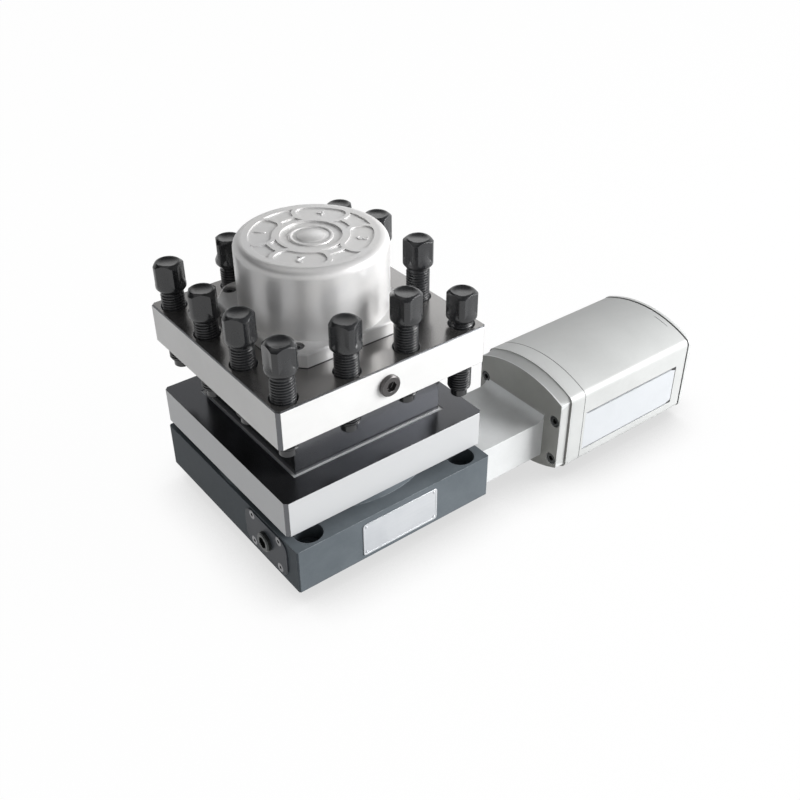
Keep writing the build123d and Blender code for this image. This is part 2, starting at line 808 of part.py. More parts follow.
def coupling_spider():
    outer = coupling_radius - 0.5
    star = pipe(outer, motor_shaft_radius - 3, coupling_mid + coupling_side_gap,
                coupling_mid + coupling_jaw - coupling_side_gap)
    keep = Pos(coupling_radius, 0, 0) * Box(2 * coupling_radius, coupling_jaw_width
                                            + 2 * coupling_side_gap, 3 * coupling_jaw)
    for k in range(2 * coupling_jaws):
        wedge = along_x(Rot(0, 0, 180 * k / coupling_jaws) * keep, coupling_mid, -worm_offset, worm_height)
        reach = pipe(coupling_radius + 1, motor_shaft_radius - coupling_side_gap, coupling_mid - 1,
                     coupling_mid + coupling_jaw + 1)
        star -= wedge & reach
    return star


def motor_shaft():
    start = coupling_mid + coupling_jaw + 2
    shaft = bar(motor_shaft_radius, start, shell_end)
    return chamfer(shaft.edges().filter_by(GeomType.CIRCLE), 0.5)


def motor_rotor():
    return pipe(stator_bore - rotor_gap, motor_shaft_radius + seat_gap, stator_x + rotor_inset,
                stator_end - rotor_inset)


def worm_wheel():
    wheel = tube(wheel_radius, sleeve_foot_radius + seat_gap, wheel_bottom, wheel_top)
    wheel -= tube(wheel_pitch_radius - 6, sleeve_collar_radius + 3, wheel_top - 3, wheel_top + 1)
    wheel -= tube(wheel_pitch_radius - 6, thrust_radius + 1, wheel_bottom - 1, wheel_bottom + 3)
    slope = math.tan(math.radians(pressure_angle + 90 / wheel_teeth))
    half = axial_pitch / 4 + backlash / 2
    outer = half + (tooth_addendum + 1) * slope
    inner = half - tooth_dedendum * slope
    top = wheel_radius + 1
    bottom = wheel_pitch_radius - tooth_dedendum
    lean = math.tan(lead_angle)
    run = wheel_width + 4
    shift = -lean * run / 2
    space = Polygon((inner + shift, -bottom), (outer + shift, -top), (-outer + shift, -top),
                    (-inner + shift, -bottom), align=None)
    drawn = Plane(origin=(0, 0, worm_height - run / 2)) * space
    cut = extrude(drawn, amount=run / math.cos(lead_angle), dir=(lean, 0, 1))
    wheel -= [Rot(0, 0, 360 * k / wheel_teeth) * cut for k in range(wheel_teeth)]
    return wheel - key_slot(wheel_bottom, wheel_top, sleeve_foot_radius)


def key_slot(low, high, radius):
    """Room for a key on the +X side of a shaft of the given radius, in the shaft and in the hub."""
    return block(radius - key_height / 2 - seat_gap, radius + key_height / 2 + seat_gap,
                 -key_width / 2 - seat_gap, key_width / 2 + seat_gap, low - 1, high + 1)


def lifting_sleeve():
    collar_top = wheel_top + sleeve_collar_height
    screw_top = sleeve_screw_start + sleeve_screw_height
    body = rod(sleeve_foot_radius, sleeve_bottom, wheel_top)
    body += rod(sleeve_collar_radius, wheel_top, collar_top)
    body += rod(sleeve_neck_radius, collar_top, sleeve_screw_start)
    screw = rod(sleeve_screw_radius, sleeve_screw_start, screw_top)
    body += chamfer(screw.edges().filter_by(GeomType.CIRCLE), 1.0)
    body += rod(sleeve_neck_radius, screw_top, clutch_bottom)
    body += rod(sleeve_foot_radius, clutch_bottom, clutch_top)
    body -= rod(shaft_radius + run_gap, sleeve_bottom - 1, clutch_top + 1)
    body -= key_slot(wheel_bottom - 1, wheel_top - 1, sleeve_foot_radius)
    return body - key_slot(clutch_bottom + 1, clutch_top + 1, sleeve_foot_radius)


def drive_keys():
    x0, x1 = sleeve_foot_radius - key_height / 2, sleeve_foot_radius + key_height / 2
    lower = block(x0, x1, -key_width / 2, key_width / 2, wheel_bottom, wheel_top)
    upper = block(x0, x1, -key_width / 2, key_width / 2, clutch_bottom, clutch_top)
    return joined([lower, upper])


def clutch_disc():
    disc = tube(clutch_radius, sleeve_foot_radius + seat_gap, clutch_bottom, clutch_top)
    disc = chamfer(disc.edges().group_by(Axis.Z)[-1], 1.0)
    for x, y in circle_points(clutch_pin_circle, 2):
        disc -= rod(clutch_pin_radius + clutch_pin_side_gap, clutch_bottom - 1,
                    clutch_bottom + clutch_pin_grip + clutch_pin_play, x, y)
    return disc - key_slot(clutch_bottom, clutch_top, sleeve_foot_radius)


def locking_ring():
    ring = tube(cavity_radius - 1, sleeve_screw_radius + 2 * run_gap, lock_bottom, lock_top)
    teeth = face_bars(register_radius + 0.5, cavity_radius - 1.5, lock_bottom - face_tooth_height,
                      face_tooth_height + 0.5, 0.0)
    ring += teeth
    for x, y in circle_points(guide_pin_circle, guide_pins):
        ring -= rod(guide_pin_radius + guide_pin_gap, lock_bottom - 1, lock_top + 1, x, y)
    return ring


def slot_cutters():
    """The four open tool slots, with a relief groove at the foot of each wall."""
    far = body_half + 1
    cuts = []
    for k in range(4):
        slot = block(-far, far, -far, -core_half, slot_floor, slot_top)
        relief = block(-core_half - slot_relief, core_half + slot_relief, -core_half - slot_relief,
                       -core_half, slot_floor - slot_relief_depth, slot_floor + 1)
        cuts.append(Rot(0, 0, 90 * k) * slot)
        cuts.append(Rot(0, 0, 90 * k) * relief)
    return cuts


def turret_body():
    body = block(-body_half, body_half, -body_half, body_half, body_bottom, body_top)
    body = chamfer(body.edges().filter_by(Axis.Z), body_corner)
    ends = body.faces().filter_by(Axis.Z).edges()
    body = chamfer(ends, body_edge)
    body -= slot_cutters()
    body -= rod(body_ring_radius + seat_gap, body_bottom - 1, body_bottom + body_ring_bottom_gap + body_ring_rim)
    body -= rod(cavity_radius, body_bottom, cavity_top)
    body -= rod(bush_radius, cavity_top - 1, well_bottom + 1)
    body -= rod(well_radius, well_bottom, body_top + 1)
    body -= tube(seal_inner + seal_width + 0.3, seal_inner - 0.3, body_bottom - 1,
                 pad_top + seal_height + 0.3)
    for x, y in circle_points(body_ring_screw_circle, body_ring_screws, body_ring_screw_start):
        body -= rod(body_ring_screw_radius + seat_gap, body_bottom, body_bottom + body_ring_screw_length + 5, x, y)
    for x, y in cap_screw_points():
        body -= rod(cap_screw_radius + seat_gap, cap_bottom + cap_foot_thickness - cap_screw_sink
                    - cap_screw_length - 1, body_top + 1, x, y)
    for x, y in circle_points(clutch_pin_circle, 2):
        body -= rod(clutch_pin_radius + run_gap, pin_bottom() - spring_length, well_bottom + 1, x, y)
    for x, y in bolt_places:
        x, y = x * bolt_offset, y * bolt_offset
        body -= rod(bolt_radius + run_gap, slot_top - 1, body_top + 1, x, y)
        body -= Pos(x, y, body_top - bolt_sink / 2) * Cone(bolt_radius, bolt_radius + bolt_sink, bolt_sink)
    plug_hole = rod(plug_stem_radius + seat_gap, 0, plug_stem_length + 2)
    body -= Pos(0, -body_half - 1, body_top - plug_drop) * Rot(-90, 0, 0) * plug_hole
    return body


def turret_tooth_ring():
    low = body_bottom + body_ring_bottom_gap
    ring = tube(body_ring_radius, body_ring_inner, low, low + body_ring_rim)
    ring += tube(cavity_radius - 0.1, body_ring_inner, low + body_ring_rim - 1, ring_top)
    ring -= face_bars(body_ring_inner - 1, cavity_radius - 0.8, ring_top - face_tooth_height,
                      face_tooth_height, bar_side_gap)
    for x, y in circle_points(body_ring_screw_circle, body_ring_screws, body_ring_screw_start):
        ring -= rod(body_ring_screw_radius + seat_gap, low - 1, low + body_ring_rim + 1, x, y)
        ring -= rod(body_ring_screw_radius * 1.75 + seat_gap, low - 1, low + 4, x, y)
    return ring


def turret_ring_screws():
    under = body_bottom + body_ring_bottom_gap + 4
    screw = socket_screw(body_ring_screw_radius, body_ring_screw_length, body_ring_screw_radius * 1.75,
                         3.6, 3.0)
    flipped = Rot(180, 0, 0) * screw
    return joined([Pos(x, y, under) * flipped
                   for x, y in circle_points(body_ring_screw_circle, body_ring_screws, body_ring_screw_start)])


def turret_bush():
    return tube(bush_radius - seat_gap, sleeve_neck_radius + run_gap, cavity_top, well_bottom)


def cap_foot(low, high):
    """Foot with cut corners between two heights; it reaches further at the back, round its screws."""
    half, back = cap_foot_half, cap_back
    side = half - cap_foot_cut
    reach = half + side - back
    outline = Polygon((-side, -half), (side, -half), (half, -side), (half, side), (reach, back),
                      (-reach, back), (-half, side), (-half, -side), align=None)
    rear = outline.vertices().group_by(Axis.Y)[-1]
    return extrude(Plane(origin=(0, 0, low)) * fillet(rear, cap_foot_round), high - low)


def cap_pocket(grow):
    """Outline of one station's pocket on the +X side, grown all round."""
    half = math.radians(pocket_span / 2)
    inner, outer = pocket_inner - grow, ring_radius + grow
    near = half + math.asin(grow / inner)
    far = half + math.asin(grow / outer)
    corners = [(r * math.cos(a), r * math.sin(a)) for r, a in
               ((inner, -near), (outer, -far), (outer, far), (inner, near))]
    over = ThreePointArc(corners[1], (outer, 0), corners[2])
    under = ThreePointArc(corners[3], (inner, 0), corners[0])
    face = make_face([Line(corners[0], corners[1]), over, Line(corners[2], corners[3]), under])
    return fillet(face.vertices(), pocket_round + grow)


def ring_sector(inner, outer, half_angle):
    """Part of a ring, centred on +X."""
    sector = Circle(outer) - Circle(inner)
    reach = 2 * outer
    y = reach * math.tan(math.radians(half_angle))
    return sector & Polygon((0, 0), (reach, -y), (reach, y), align=None)


def cap_spandrel():
    """The two sunk fields between neighbouring pockets: one at the rim, a wedge near the middle."""
    beside = [Rot(0, 0, side * 45) * cap_pocket(rib_width) for side in (-1, 1)]
    rim = ring_sector(wedge_outer + rib_width, ring_radius, 44) - beside
    wedge = ring_sector(wedge_inner, wedge_outer, 44) - beside
    return rim + wedge


def turret_cap():
    shell = rod(cap_radius, cap_bottom, cap_top)
    shell = fillet(shell.edges().sort_by(Axis.Z)[-1], cap_round)
    foot = cap_foot(cap_bottom, cap_bottom + cap_foot_thickness)
    foot = chamfer(foot.faces().sort_by(Axis.Z)[-1].edges(), cap_foot_edge)
    body = shell + foot
    body -= rod(cap_radius - cap_wall, cap_bottom - 1, cap_ceiling)
    body -= rod(inner_ring_radius, cap_top - centre_depth, cap_top + 1)
    sunk = extrude(Plane(origin=(0, 0, cap_top - dial_depth)) * cap_pocket(0), dial_depth + 1)
    between = extrude(Plane(origin=(0, 0, cap_top - dial_depth)) * cap_spandrel(), dial_depth + 1)
    for k in range(4):
        body -= Rot(0, 0, 45 + 90 * k) * sunk
        body -= [Rot(0, 0, 90 * k) * piece for piece in between.solids()]
    foot_top_z = cap_bottom + cap_foot_thickness
    for x, y in cap_screw_points():
        body -= rod(cap_screw_radius + seat_gap, cap_bottom - 1, foot_top_z + 1, x, y)
        body -= rod(cap_screw_head_radius + cap_screw_side_gap, foot_top_z - cap_screw_sink, foot_top_z + 1, x, y)
    return body


def cap_screws():
    under = cap_bottom + cap_foot_thickness - cap_screw_sink
    screw = socket_screw(cap_screw_radius, cap_screw_length, cap_screw_head_radius,
                         cap_screw_head_height, 4.0)
    return joined([Pos(x, y, under) * screw for x, y in cap_screw_points()])


def cap_gasket():
    sheet = cap_foot(body_top, cap_bottom) - rod(well_radius, body_top - 1, cap_bottom + 1)
    for x, y in cap_screw_points():
        sheet -= rod(cap_screw_radius + seat_gap, body_top - 1, cap_bottom + 1, x, y)
    return sheet


def side_plug():
    head = rod(plug_radius, 0, plug_proud)
    head = chamfer(head.edges().sort_by(Axis.Z)[-1], 0.8)
    plug = head + rod(plug_stem_radius, -plug_stem_length, 0)
    plug -= Pos(0, 0, plug_proud - 3.5) * hexagon(plug_socket, 4.5)
    return Pos(0, -body_half, body_top - plug_drop) * Rot(90, 0, 0) * plug


def pin_bottom():
    """Height of the lower end of the clutch pins when they are engaged."""
    return clutch_bottom + clutch_pin_grip - clutch_pin_length


def clutch_pins():
    pin = rod(clutch_pin_radius, pin_bottom(), clutch_bottom + clutch_pin_grip)
    pin = chamfer(pin.edges().sort_by(Axis.Z)[-1], 0.8)
    return joined([Pos(x, y, 0) * pin for x, y in circle_points(clutch_pin_circle, 2)])


def pin_springs():
    radius = clutch_pin_radius - spring_wire
    wire = spring_wire / 2
    low = pin_bottom() - spring_length + wire
    height = spring_length - 2 * wire
    path = Helix(height / spring_turns, height, radius, center=(0, 0, low))
    coil = sweep(Pos(radius, 0, low) * (Plane.XZ * Circle(wire)), path=path, is_frenet=True)
    return joined([Pos(x, y, 0) * coil for x, y in circle_points(clutch_pin_circle, 2)])


def top_thrust_bearing():
    race = 0.3 * top_thrust_height
    low = clutch_top + run_gap
    inner = shaft_radius + seat_gap
    bottom = tube(thrust_radius, inner, low, low + race)
    cage = tube(thrust_radius - 2, inner + 2, low + race, nut_bottom - race)
    return bottom + cage + tube(thrust_radius, inner, nut_bottom - race, nut_bottom)


def shaft_nut():
    nut = tube(nut_radius, shaft_radius + seat_gap, nut_bottom, nut_top)
    nut = chamfer(nut.edges().group_by(Axis.Z)[-1], 1.0)
    slot = block(nut_radius - nut_slot_depth, nut_radius + 1, -nut_slot_width / 2, nut_slot_width / 2,
                 nut_bottom - 1, nut_top + 1)
    return nut - [Rot(0, 0, 360 * k / nut_slots) * slot for k in range(nut_slots)]


def sensor_board():
    board = tube(board_radius, tail_radius + seat_gap, board_bottom, board_bottom + board_thickness)
    chips = [Pos(x, y, board_bottom + board_thickness + 0.8) * Box(4.0, 3.2, 1.6)
             for x, y in circle_points(board_radius - 4, 4, 45)]
    return board + chips


def sensor_nut():
    low = board_bottom + board_thickness
    nut = Pos(0, 0, low) * hexagon(2 * board_nut_radius, board_nut_height)
    return nut - rod(tail_radius + seat_gap, low - 1, low + board_nut_height + 1)


def magnet_holder():
    inner = board_radius + magnet_gap
    low = cap_ceiling - magnet_reach
    arm = block(-magnet_width / 2, magnet_width / 2, inner, inner + magnet_depth, low, cap_ceiling)
    foot = block(-magnet_width / 2, magnet_width / 2, inner - magnet_depth, inner + magnet_depth,
                 cap_ceiling - 3, cap_ceiling)
    centre = Pos(0, inner, low + magnet_radius + 1) * Rot(-90, 0, 0)
    magnet = centre * rod(magnet_radius - seat_gap, 0, 4)
    holder = arm + foot - centre * rod(magnet_radius, -1, 4)
    return Rot(0, 0, 45) * joined([holder, magnet])


def clamp_bolt(stand, turn):
    """Square-headed bolt with its top at zero, turned by an angle about its own axis."""
    cone_end = -bolt_head_height - bolt_cone
    neck_end = cone_end - bolt_neck
    dog_start = -bolt_length + bolt_dog
    outline = [(0, -bolt_dish), (bolt_top_radius - 1.5, 0), (bolt_top_radius, 0),
               (bolt_turned_radius, -bolt_crown), (bolt_turned_radius, -bolt_head_height),
               (bolt_cone_radius, cone_end), (bolt_neck_radius, cone_end), (bolt_neck_radius, neck_end),
               (bolt_radius, neck_end - bolt_bevel), (bolt_radius, dog_start + bolt_bevel * 2),
               (bolt_dog_radius, dog_start), (bolt_dog_radius, -bolt_length + bolt_bevel / 2),
               (bolt_dog_radius - bolt_bevel / 2, -bolt_length), (0, -bolt_length)]
    body = revolve(Plane.XZ * Polygon(*outline, align=None), Axis.Z)
    ledge = bolt_ledge_end - bolt_ledge_top
    square = extrude(Rectangle(bolt_square, bolt_square), -bolt_ledge_end)
    flare = Pos(0, 0, -bolt_ledge_end + ledge / 2) * Cone(bolt_turned_radius, bolt_square / 2, ledge)
    below = rod(bolt_turned_radius, -bolt_length - 1, -bolt_ledge_end)
    body &= square + flare + below
    return Pos(0, 0, body_top + stand) * Rot(0, 0, turn) * body


pieces = {
    "base_housing": base_housing,
    "centre_shaft": centre_shaft,
    "foot_screws": foot_screws,
    "fixed_tooth_ring": fixed_tooth_ring,
    "guide_pins": guide_pin_set,
    "dust_seal": dust_seal,
    "lower_thrust_bearing": lower_thrust_bearing,
    "ball_bearings": ball_bearings,
    "worm_end_cover": worm_end_cover,
    "end_cover_screws": end_cover_screws,
    "worm_access_plug": worm_access_plug,
    "connecting_seat": connecting_seat,
    "seat_screws": seat_screws,
    "plate_screws": plate_screws,
    "motor_front_bell": motor_front_bell,
    "motor_housing": motor_housing,
    "side_strip": side_strip,
    "motor_end_cap": motor_end_cap,
    "end_cap_screws": end_cap_screws,
    "stator_shell": stator_shell,
    "stator_core": stator_core,
    "stator_windings": stator_windings,
    "rear_bracket": rear_bracket,
    "top_thrust_bearing": top_thrust_bearing,
    "shaft_nut": shaft_nut,
    "sensor_board": sensor_board,
    "sensor_nut": sensor_nut,
    "worm_shaft": worm_shaft,
    "coupling_hubs": coupling_hubs,
    "coupling_spider": coupling_spider,
    "motor_shaft": motor_shaft,
    "motor_rotor": motor_rotor,
    "worm_wheel": worm_wheel,
    "lifting_sleeve": lifting_sleeve,
    "drive_keys": drive_keys,
    "clutch_disc": clutch_disc,
    "locking_ring": locking_ring,
    "turret_body": turret_body,
    "turret_tooth_ring": turret_tooth_ring,
    "turret_ring_screws": turret_ring_screws,
    "turret_bush": turret_bush,
    "turret_cap": turret_cap,
    "cap_screws": cap_screws,
    "cap_gasket": cap_gasket,
    "side_plug": side_plug,
    "magnet_holder": magnet_holder,
    "clutch_pins": clutch_pins,
    "pin_springs": pin_springs,
}

os.makedirs("parts", exist_ok=True)
for name, make in pieces.items():
    export_step(make(), f"parts/{name}.step")
for number, ((x, y), stand, turn) in enumerate(zip(bolt_places, bolt_stand, bolt_turn), start=1):
    bolt = Pos(x * bolt_offset, y * bolt_offset, 0) * clamp_bolt(stand, turn)
    export_step(bolt, f"parts/clamp_bolt_{number:02d}.step")
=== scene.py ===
import json
import logging
import math
from dataclasses import dataclass
from enum import Enum

import bmesh
import bpy
from mathutils import Matrix, Vector


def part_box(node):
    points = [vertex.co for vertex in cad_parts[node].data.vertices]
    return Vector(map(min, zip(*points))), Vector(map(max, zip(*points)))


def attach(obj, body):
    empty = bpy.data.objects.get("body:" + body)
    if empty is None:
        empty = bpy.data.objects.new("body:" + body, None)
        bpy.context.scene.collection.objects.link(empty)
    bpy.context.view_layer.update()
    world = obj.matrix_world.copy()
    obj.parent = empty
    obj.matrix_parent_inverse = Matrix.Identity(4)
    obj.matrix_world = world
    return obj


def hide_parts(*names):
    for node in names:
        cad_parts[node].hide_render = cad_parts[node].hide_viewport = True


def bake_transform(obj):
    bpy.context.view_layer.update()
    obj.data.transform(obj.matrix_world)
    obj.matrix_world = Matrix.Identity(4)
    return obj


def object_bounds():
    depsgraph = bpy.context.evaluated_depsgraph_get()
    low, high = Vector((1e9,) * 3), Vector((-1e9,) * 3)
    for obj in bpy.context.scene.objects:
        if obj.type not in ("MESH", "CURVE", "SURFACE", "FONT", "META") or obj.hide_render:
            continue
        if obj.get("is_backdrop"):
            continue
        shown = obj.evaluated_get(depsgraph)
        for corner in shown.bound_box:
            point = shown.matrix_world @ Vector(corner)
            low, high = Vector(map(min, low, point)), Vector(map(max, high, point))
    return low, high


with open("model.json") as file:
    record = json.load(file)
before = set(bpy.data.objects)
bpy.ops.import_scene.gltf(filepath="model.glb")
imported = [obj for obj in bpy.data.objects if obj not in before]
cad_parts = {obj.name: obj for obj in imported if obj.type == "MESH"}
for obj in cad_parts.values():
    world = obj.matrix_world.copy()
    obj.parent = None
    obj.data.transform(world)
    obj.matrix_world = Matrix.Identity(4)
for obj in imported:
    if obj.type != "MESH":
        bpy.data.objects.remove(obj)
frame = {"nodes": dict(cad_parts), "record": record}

LOG = logging.getLogger("tool_turret")
MM = 0.001
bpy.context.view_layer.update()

Colour = tuple[float, float, float]
Pair = tuple[float, float]
Material = bpy.types.Material
Mesh = bpy.types.Mesh
BMesh = bmesh.types.BMesh
Socket = bpy.types.NodeSocket
Value = float | tuple[float, ...] | Socket


class Axis(Enum):
    """The way that grinding or brushing marks run on a surface."""

    ALONG_X = (0.02, 1.0, 1.0)
    ALONG_Y = (1.0, 0.02, 1.0)
    ALONG_Z = (1.0, 1.0, 0.02)
    EVERY_WAY = (1.0, 1.0, 1.0)


class Graph:
    """Adds nodes to one shader tree and links them."""

    def __init__(self, tree: bpy.types.NodeTree) -> None:
        """Take over a tree and empty it.

        Args:
            tree: The tree of a material, a world or a node group.
        """
        self.tree = tree
        tree.nodes.clear()

    def node(self, kind: str, sockets: dict[str | int, Value] | None = None,
             **settings: object) -> bpy.types.Node:
        """Add one node.

        Args:
            kind: Blender's name of the node type.
            sockets: What each input holds: a number, a tuple or another node's output.
            **settings: The node's own properties.

        Returns:
            The new node.
        """
        made = self.tree.nodes.new(kind)
        for name, value in settings.items():
            setattr(made, name, value)
        for name, value in (sockets or {}).items():
            if isinstance(value, Socket):
                self.tree.links.new(value, made.inputs[name])
            else:
                made.inputs[name].default_value = value
        return made

    def math(self, operation: str, *values: Value, clamp: bool = False) -> Socket:
        """Combine numbers with one Math node.

        Args:
            operation: The operation's name.
            *values: Its inputs in order.
            clamp: Whether the result is held between 0 and 1.

        Returns:
            The result.
        """
        made = self.node("ShaderNodeMath", dict(enumerate(values)), operation=operation, use_clamp=clamp)
        return made.outputs[0]

    def remap(self, value: Value, low: float, high: float, to_low: float = 0.0,
              to_high: float = 1.0) -> Socket:
        """Stretch a range of a value onto another range, smoothly.

        Args:
            value: The value to stretch.
            low: The value that gives to_low.
            high: The value that gives to_high.
            to_low: The result at and below low.
            to_high: The result at and above high.

        Returns:
            The stretched value.
        """
        made = self.node("ShaderNodeMapRange", {0: value, 1: low, 2: high, 3: to_low, 4: to_high},
                         interpolation_type="SMOOTHSTEP")
        return made.outputs[0]

    def mix(self, share: Value, first: Value, second: Value) -> Socket:
        """Blend two colours.

        Args:
            share: How much of the second colour there is.
            first: The first colour, with its alpha.
            second: The second colour, with its alpha.

        Returns:
            The blended colour.
        """
        made = self.node("ShaderNodeMix", {0: share, 6: first, 7: second}, data_type="RGBA")
        return made.outputs[2]

    def seen(self) -> Socket:
        """One for a ray of the camera, a reflection or a clear surface, and nought for other rays."""
        path = self.node("ShaderNodeLightPath").outputs
        return self.math("MAXIMUM", self.math("MAXIMUM", path["Is Camera Ray"], path["Is Glossy Ray"]),
                         path["Is Transmission Ray"])

    def group(self, tree: bpy.types.NodeTree, sockets: dict[str | int, Value]) -> bpy.types.Node:
        """Place a shared effect.

        Args:
            tree: The effect's node group.
            sockets: The values of its named inputs.

        Returns:
            The group's node, for its outputs.
        """
        return self.node("ShaderNodeGroup", sockets, node_tree=tree)


def rgba(colour: Colour) -> tuple[float, float, float, float]:
    """Give a colour its alpha."""
    return (*colour, 1.0)


class Effects:
    """The shader node groups that the finishes share, each built once."""

    bent: Pair = (0.015, 0.12)
    torn: Pair = (0.36, 0.62)
    least_torn: float = 0.35
    coarse_share: float = 0.19
    cloudy: Pair = (0.32, 0.68)
    skin: float = 0.00006
    square_on: float = 0.95
    facing_up: float = 0.9

    def __init__(self) -> None:
        """Build every group."""
        self.edge_wear = self._edge_wear()
        self.grain = self._grain()
        self.clouds = self._clouds()
        self.plate_faces = self._plate_faces()

    @staticmethod
    def _start(name: str, inputs: dict[str, Value]) -> tuple[Graph, dict[str, Socket]]:
        """Make an empty group with named inputs.

        Args:
            name: The group's name.
            inputs: Each input's first value: a number, or a tuple for a vector.

        Returns:
            The group's graph and its inputs by name.
        """
        graph = Graph(bpy.data.node_groups.new(name, "ShaderNodeTree"))
        for label, value in inputs.items():
            kind = "NodeSocketVector" if isinstance(value, tuple) else "NodeSocketFloat"
            made = graph.tree.interface.new_socket(name=label, in_out="INPUT", socket_type=kind)
            made.default_value = value
        entry = graph.node("NodeGroupInput")
        return graph, {label: entry.outputs[label] for label in inputs}

    @staticmethod
    def _give(graph: Graph, outputs: dict[str, Socket]) -> bpy.types.NodeTree:
        """Close a group with named outputs.

        Args:
            graph: The group's graph.
            outputs: What each output gives.

        Returns:
            The finished group.
        """
        for label, value in outputs.items():
            kind = "NodeSocketVector" if value.type == "VECTOR" else "NodeSocketFloat"
            graph.tree.interface.new_socket(name=label, in_out="OUTPUT", socket_type=kind)
        graph.node("NodeGroupOutput", outputs)
        return graph.tree

    def _edge_wear(self) -> bpy.types.NodeTree:
        """Mask of worn edges, and the normal of softly rounded ones."""
        graph, given = self._start("Edge wear", {"Width": 0.0006, "Amount": 0.5, "Patch Size": 0.004})
        soft = graph.node("ShaderNodeBevel", {"Radius": given["Width"]}, samples=6)
        flat = graph.node("ShaderNodeNewGeometry")
        turn = graph.node("ShaderNodeVectorMath", {0: soft.outputs[0], 1: flat.outputs["Normal"]},
                          operation="DOT_PRODUCT")
        bend = graph.math("SUBTRACT", 1.0, turn.outputs["Value"])
        edge = graph.remap(bend, *self.bent)
        place = graph.node("ShaderNodeTexCoord").outputs["Object"]
        rate = graph.math("DIVIDE", 1.0, given["Patch Size"])
        patches = graph.node("ShaderNodeTexNoise", {"Vector": place, "Scale": rate, "Detail": 3.0})
        torn = graph.math("ADD", self.least_torn, graph.remap(patches.outputs[0], *self.torn))
        amount = graph.math("MULTIPLY", given["Amount"], torn, clamp=True)
        return self._give(graph, {"Mask": graph.math("MULTIPLY", edge, amount), "Normal": soft.outputs[0]})

    def _grain(self) -> bpy.types.NodeTree:
        """Fine grain that can be drawn out along one axis: cast skin, blasting or grinding marks."""
        graph, given = self._start("Grain", {"Size": 0.001, "Stretch": (1.0, 1.0, 1.0), "Detail": 3.0})
        place = graph.node("ShaderNodeTexCoord").outputs["Object"]
        drawn = graph.node("ShaderNodeVectorMath", {0: place, 1: given["Stretch"]}, operation="MULTIPLY")
        rate = graph.math("DIVIDE", 1.0, given["Size"])
        fine = graph.node("ShaderNodeTexNoise", {"Vector": drawn.outputs[0], "Scale": rate,
                                                 "Detail": given["Detail"], "Roughness": 0.6})
        coarse_rate = graph.math("MULTIPLY", rate, self.coarse_share)
        coarse = graph.node("ShaderNodeTexNoise", {"Vector": drawn.outputs[0], "Scale": coarse_rate,
                                                   "Detail": 2.0})
        tone = graph.math("ADD", graph.math("MULTIPLY", fine.outputs[0], 0.5),
                          graph.math("MULTIPLY", coarse.outputs[0], 0.5))
        return self._give(graph, {"Height": fine.outputs[0], "Tone": tone})

    def _clouds(self) -> bpy.types.NodeTree:
        """Slow change over a surface, as handling, oil and dust leave it."""
        graph, given = self._start("Clouds", {"Size": 0.04})
        place = graph.node("ShaderNodeTexCoord").outputs["Object"]
        rate = graph.math("DIVIDE", 1.0, given["Size"])
        slow = graph.node("ShaderNodeTexNoise", {"Vector": place, "Scale": rate, "Detail": 4.0,
                                                 "Distortion": 0.4})
        return self._give(graph, {"Value": graph.remap(slow.outputs[0], *self.cloudy)})

    def _plate_faces(self) -> bpy.types.NodeTree:
        """Masks of a square plate's outer sides and of the faces that look up."""
        graph, given = self._start("Plate faces", {"Half Width": 0.08})
        spot = graph.node("ShaderNodeTexCoord").outputs
        place = graph.node("ShaderNodeSeparateXYZ", {0: spot["Object"]}).outputs
        facing = graph.node("ShaderNodeSeparateXYZ", {0: spot["Normal"]}).outputs
        edge = graph.math("SUBTRACT", given["Half Width"], self.skin)
        masks = []
        for part in (0, 1):
            far = graph.math("GREATER_THAN", graph.math("ABSOLUTE", place[part]), edge)
            square = graph.math("GREATER_THAN", graph.math("ABSOLUTE", facing[part]), self.square_on)
            masks.append(graph.math("MULTIPLY", far, square))
        return self._give(graph, {"Sides": graph.math("MAXIMUM", *masks), "Left": masks[0],
                                  "Up": graph.math("GREATER_THAN", facing[2], self.facing_up),
                                  "Height": place[2]})


@dataclass(frozen=True)
class Layers:
    """What the surface of one material is mixed from."""

    graph: Graph
    effects: Effects
    grain: bpy.types.Node
    cloud: bpy.types.Node


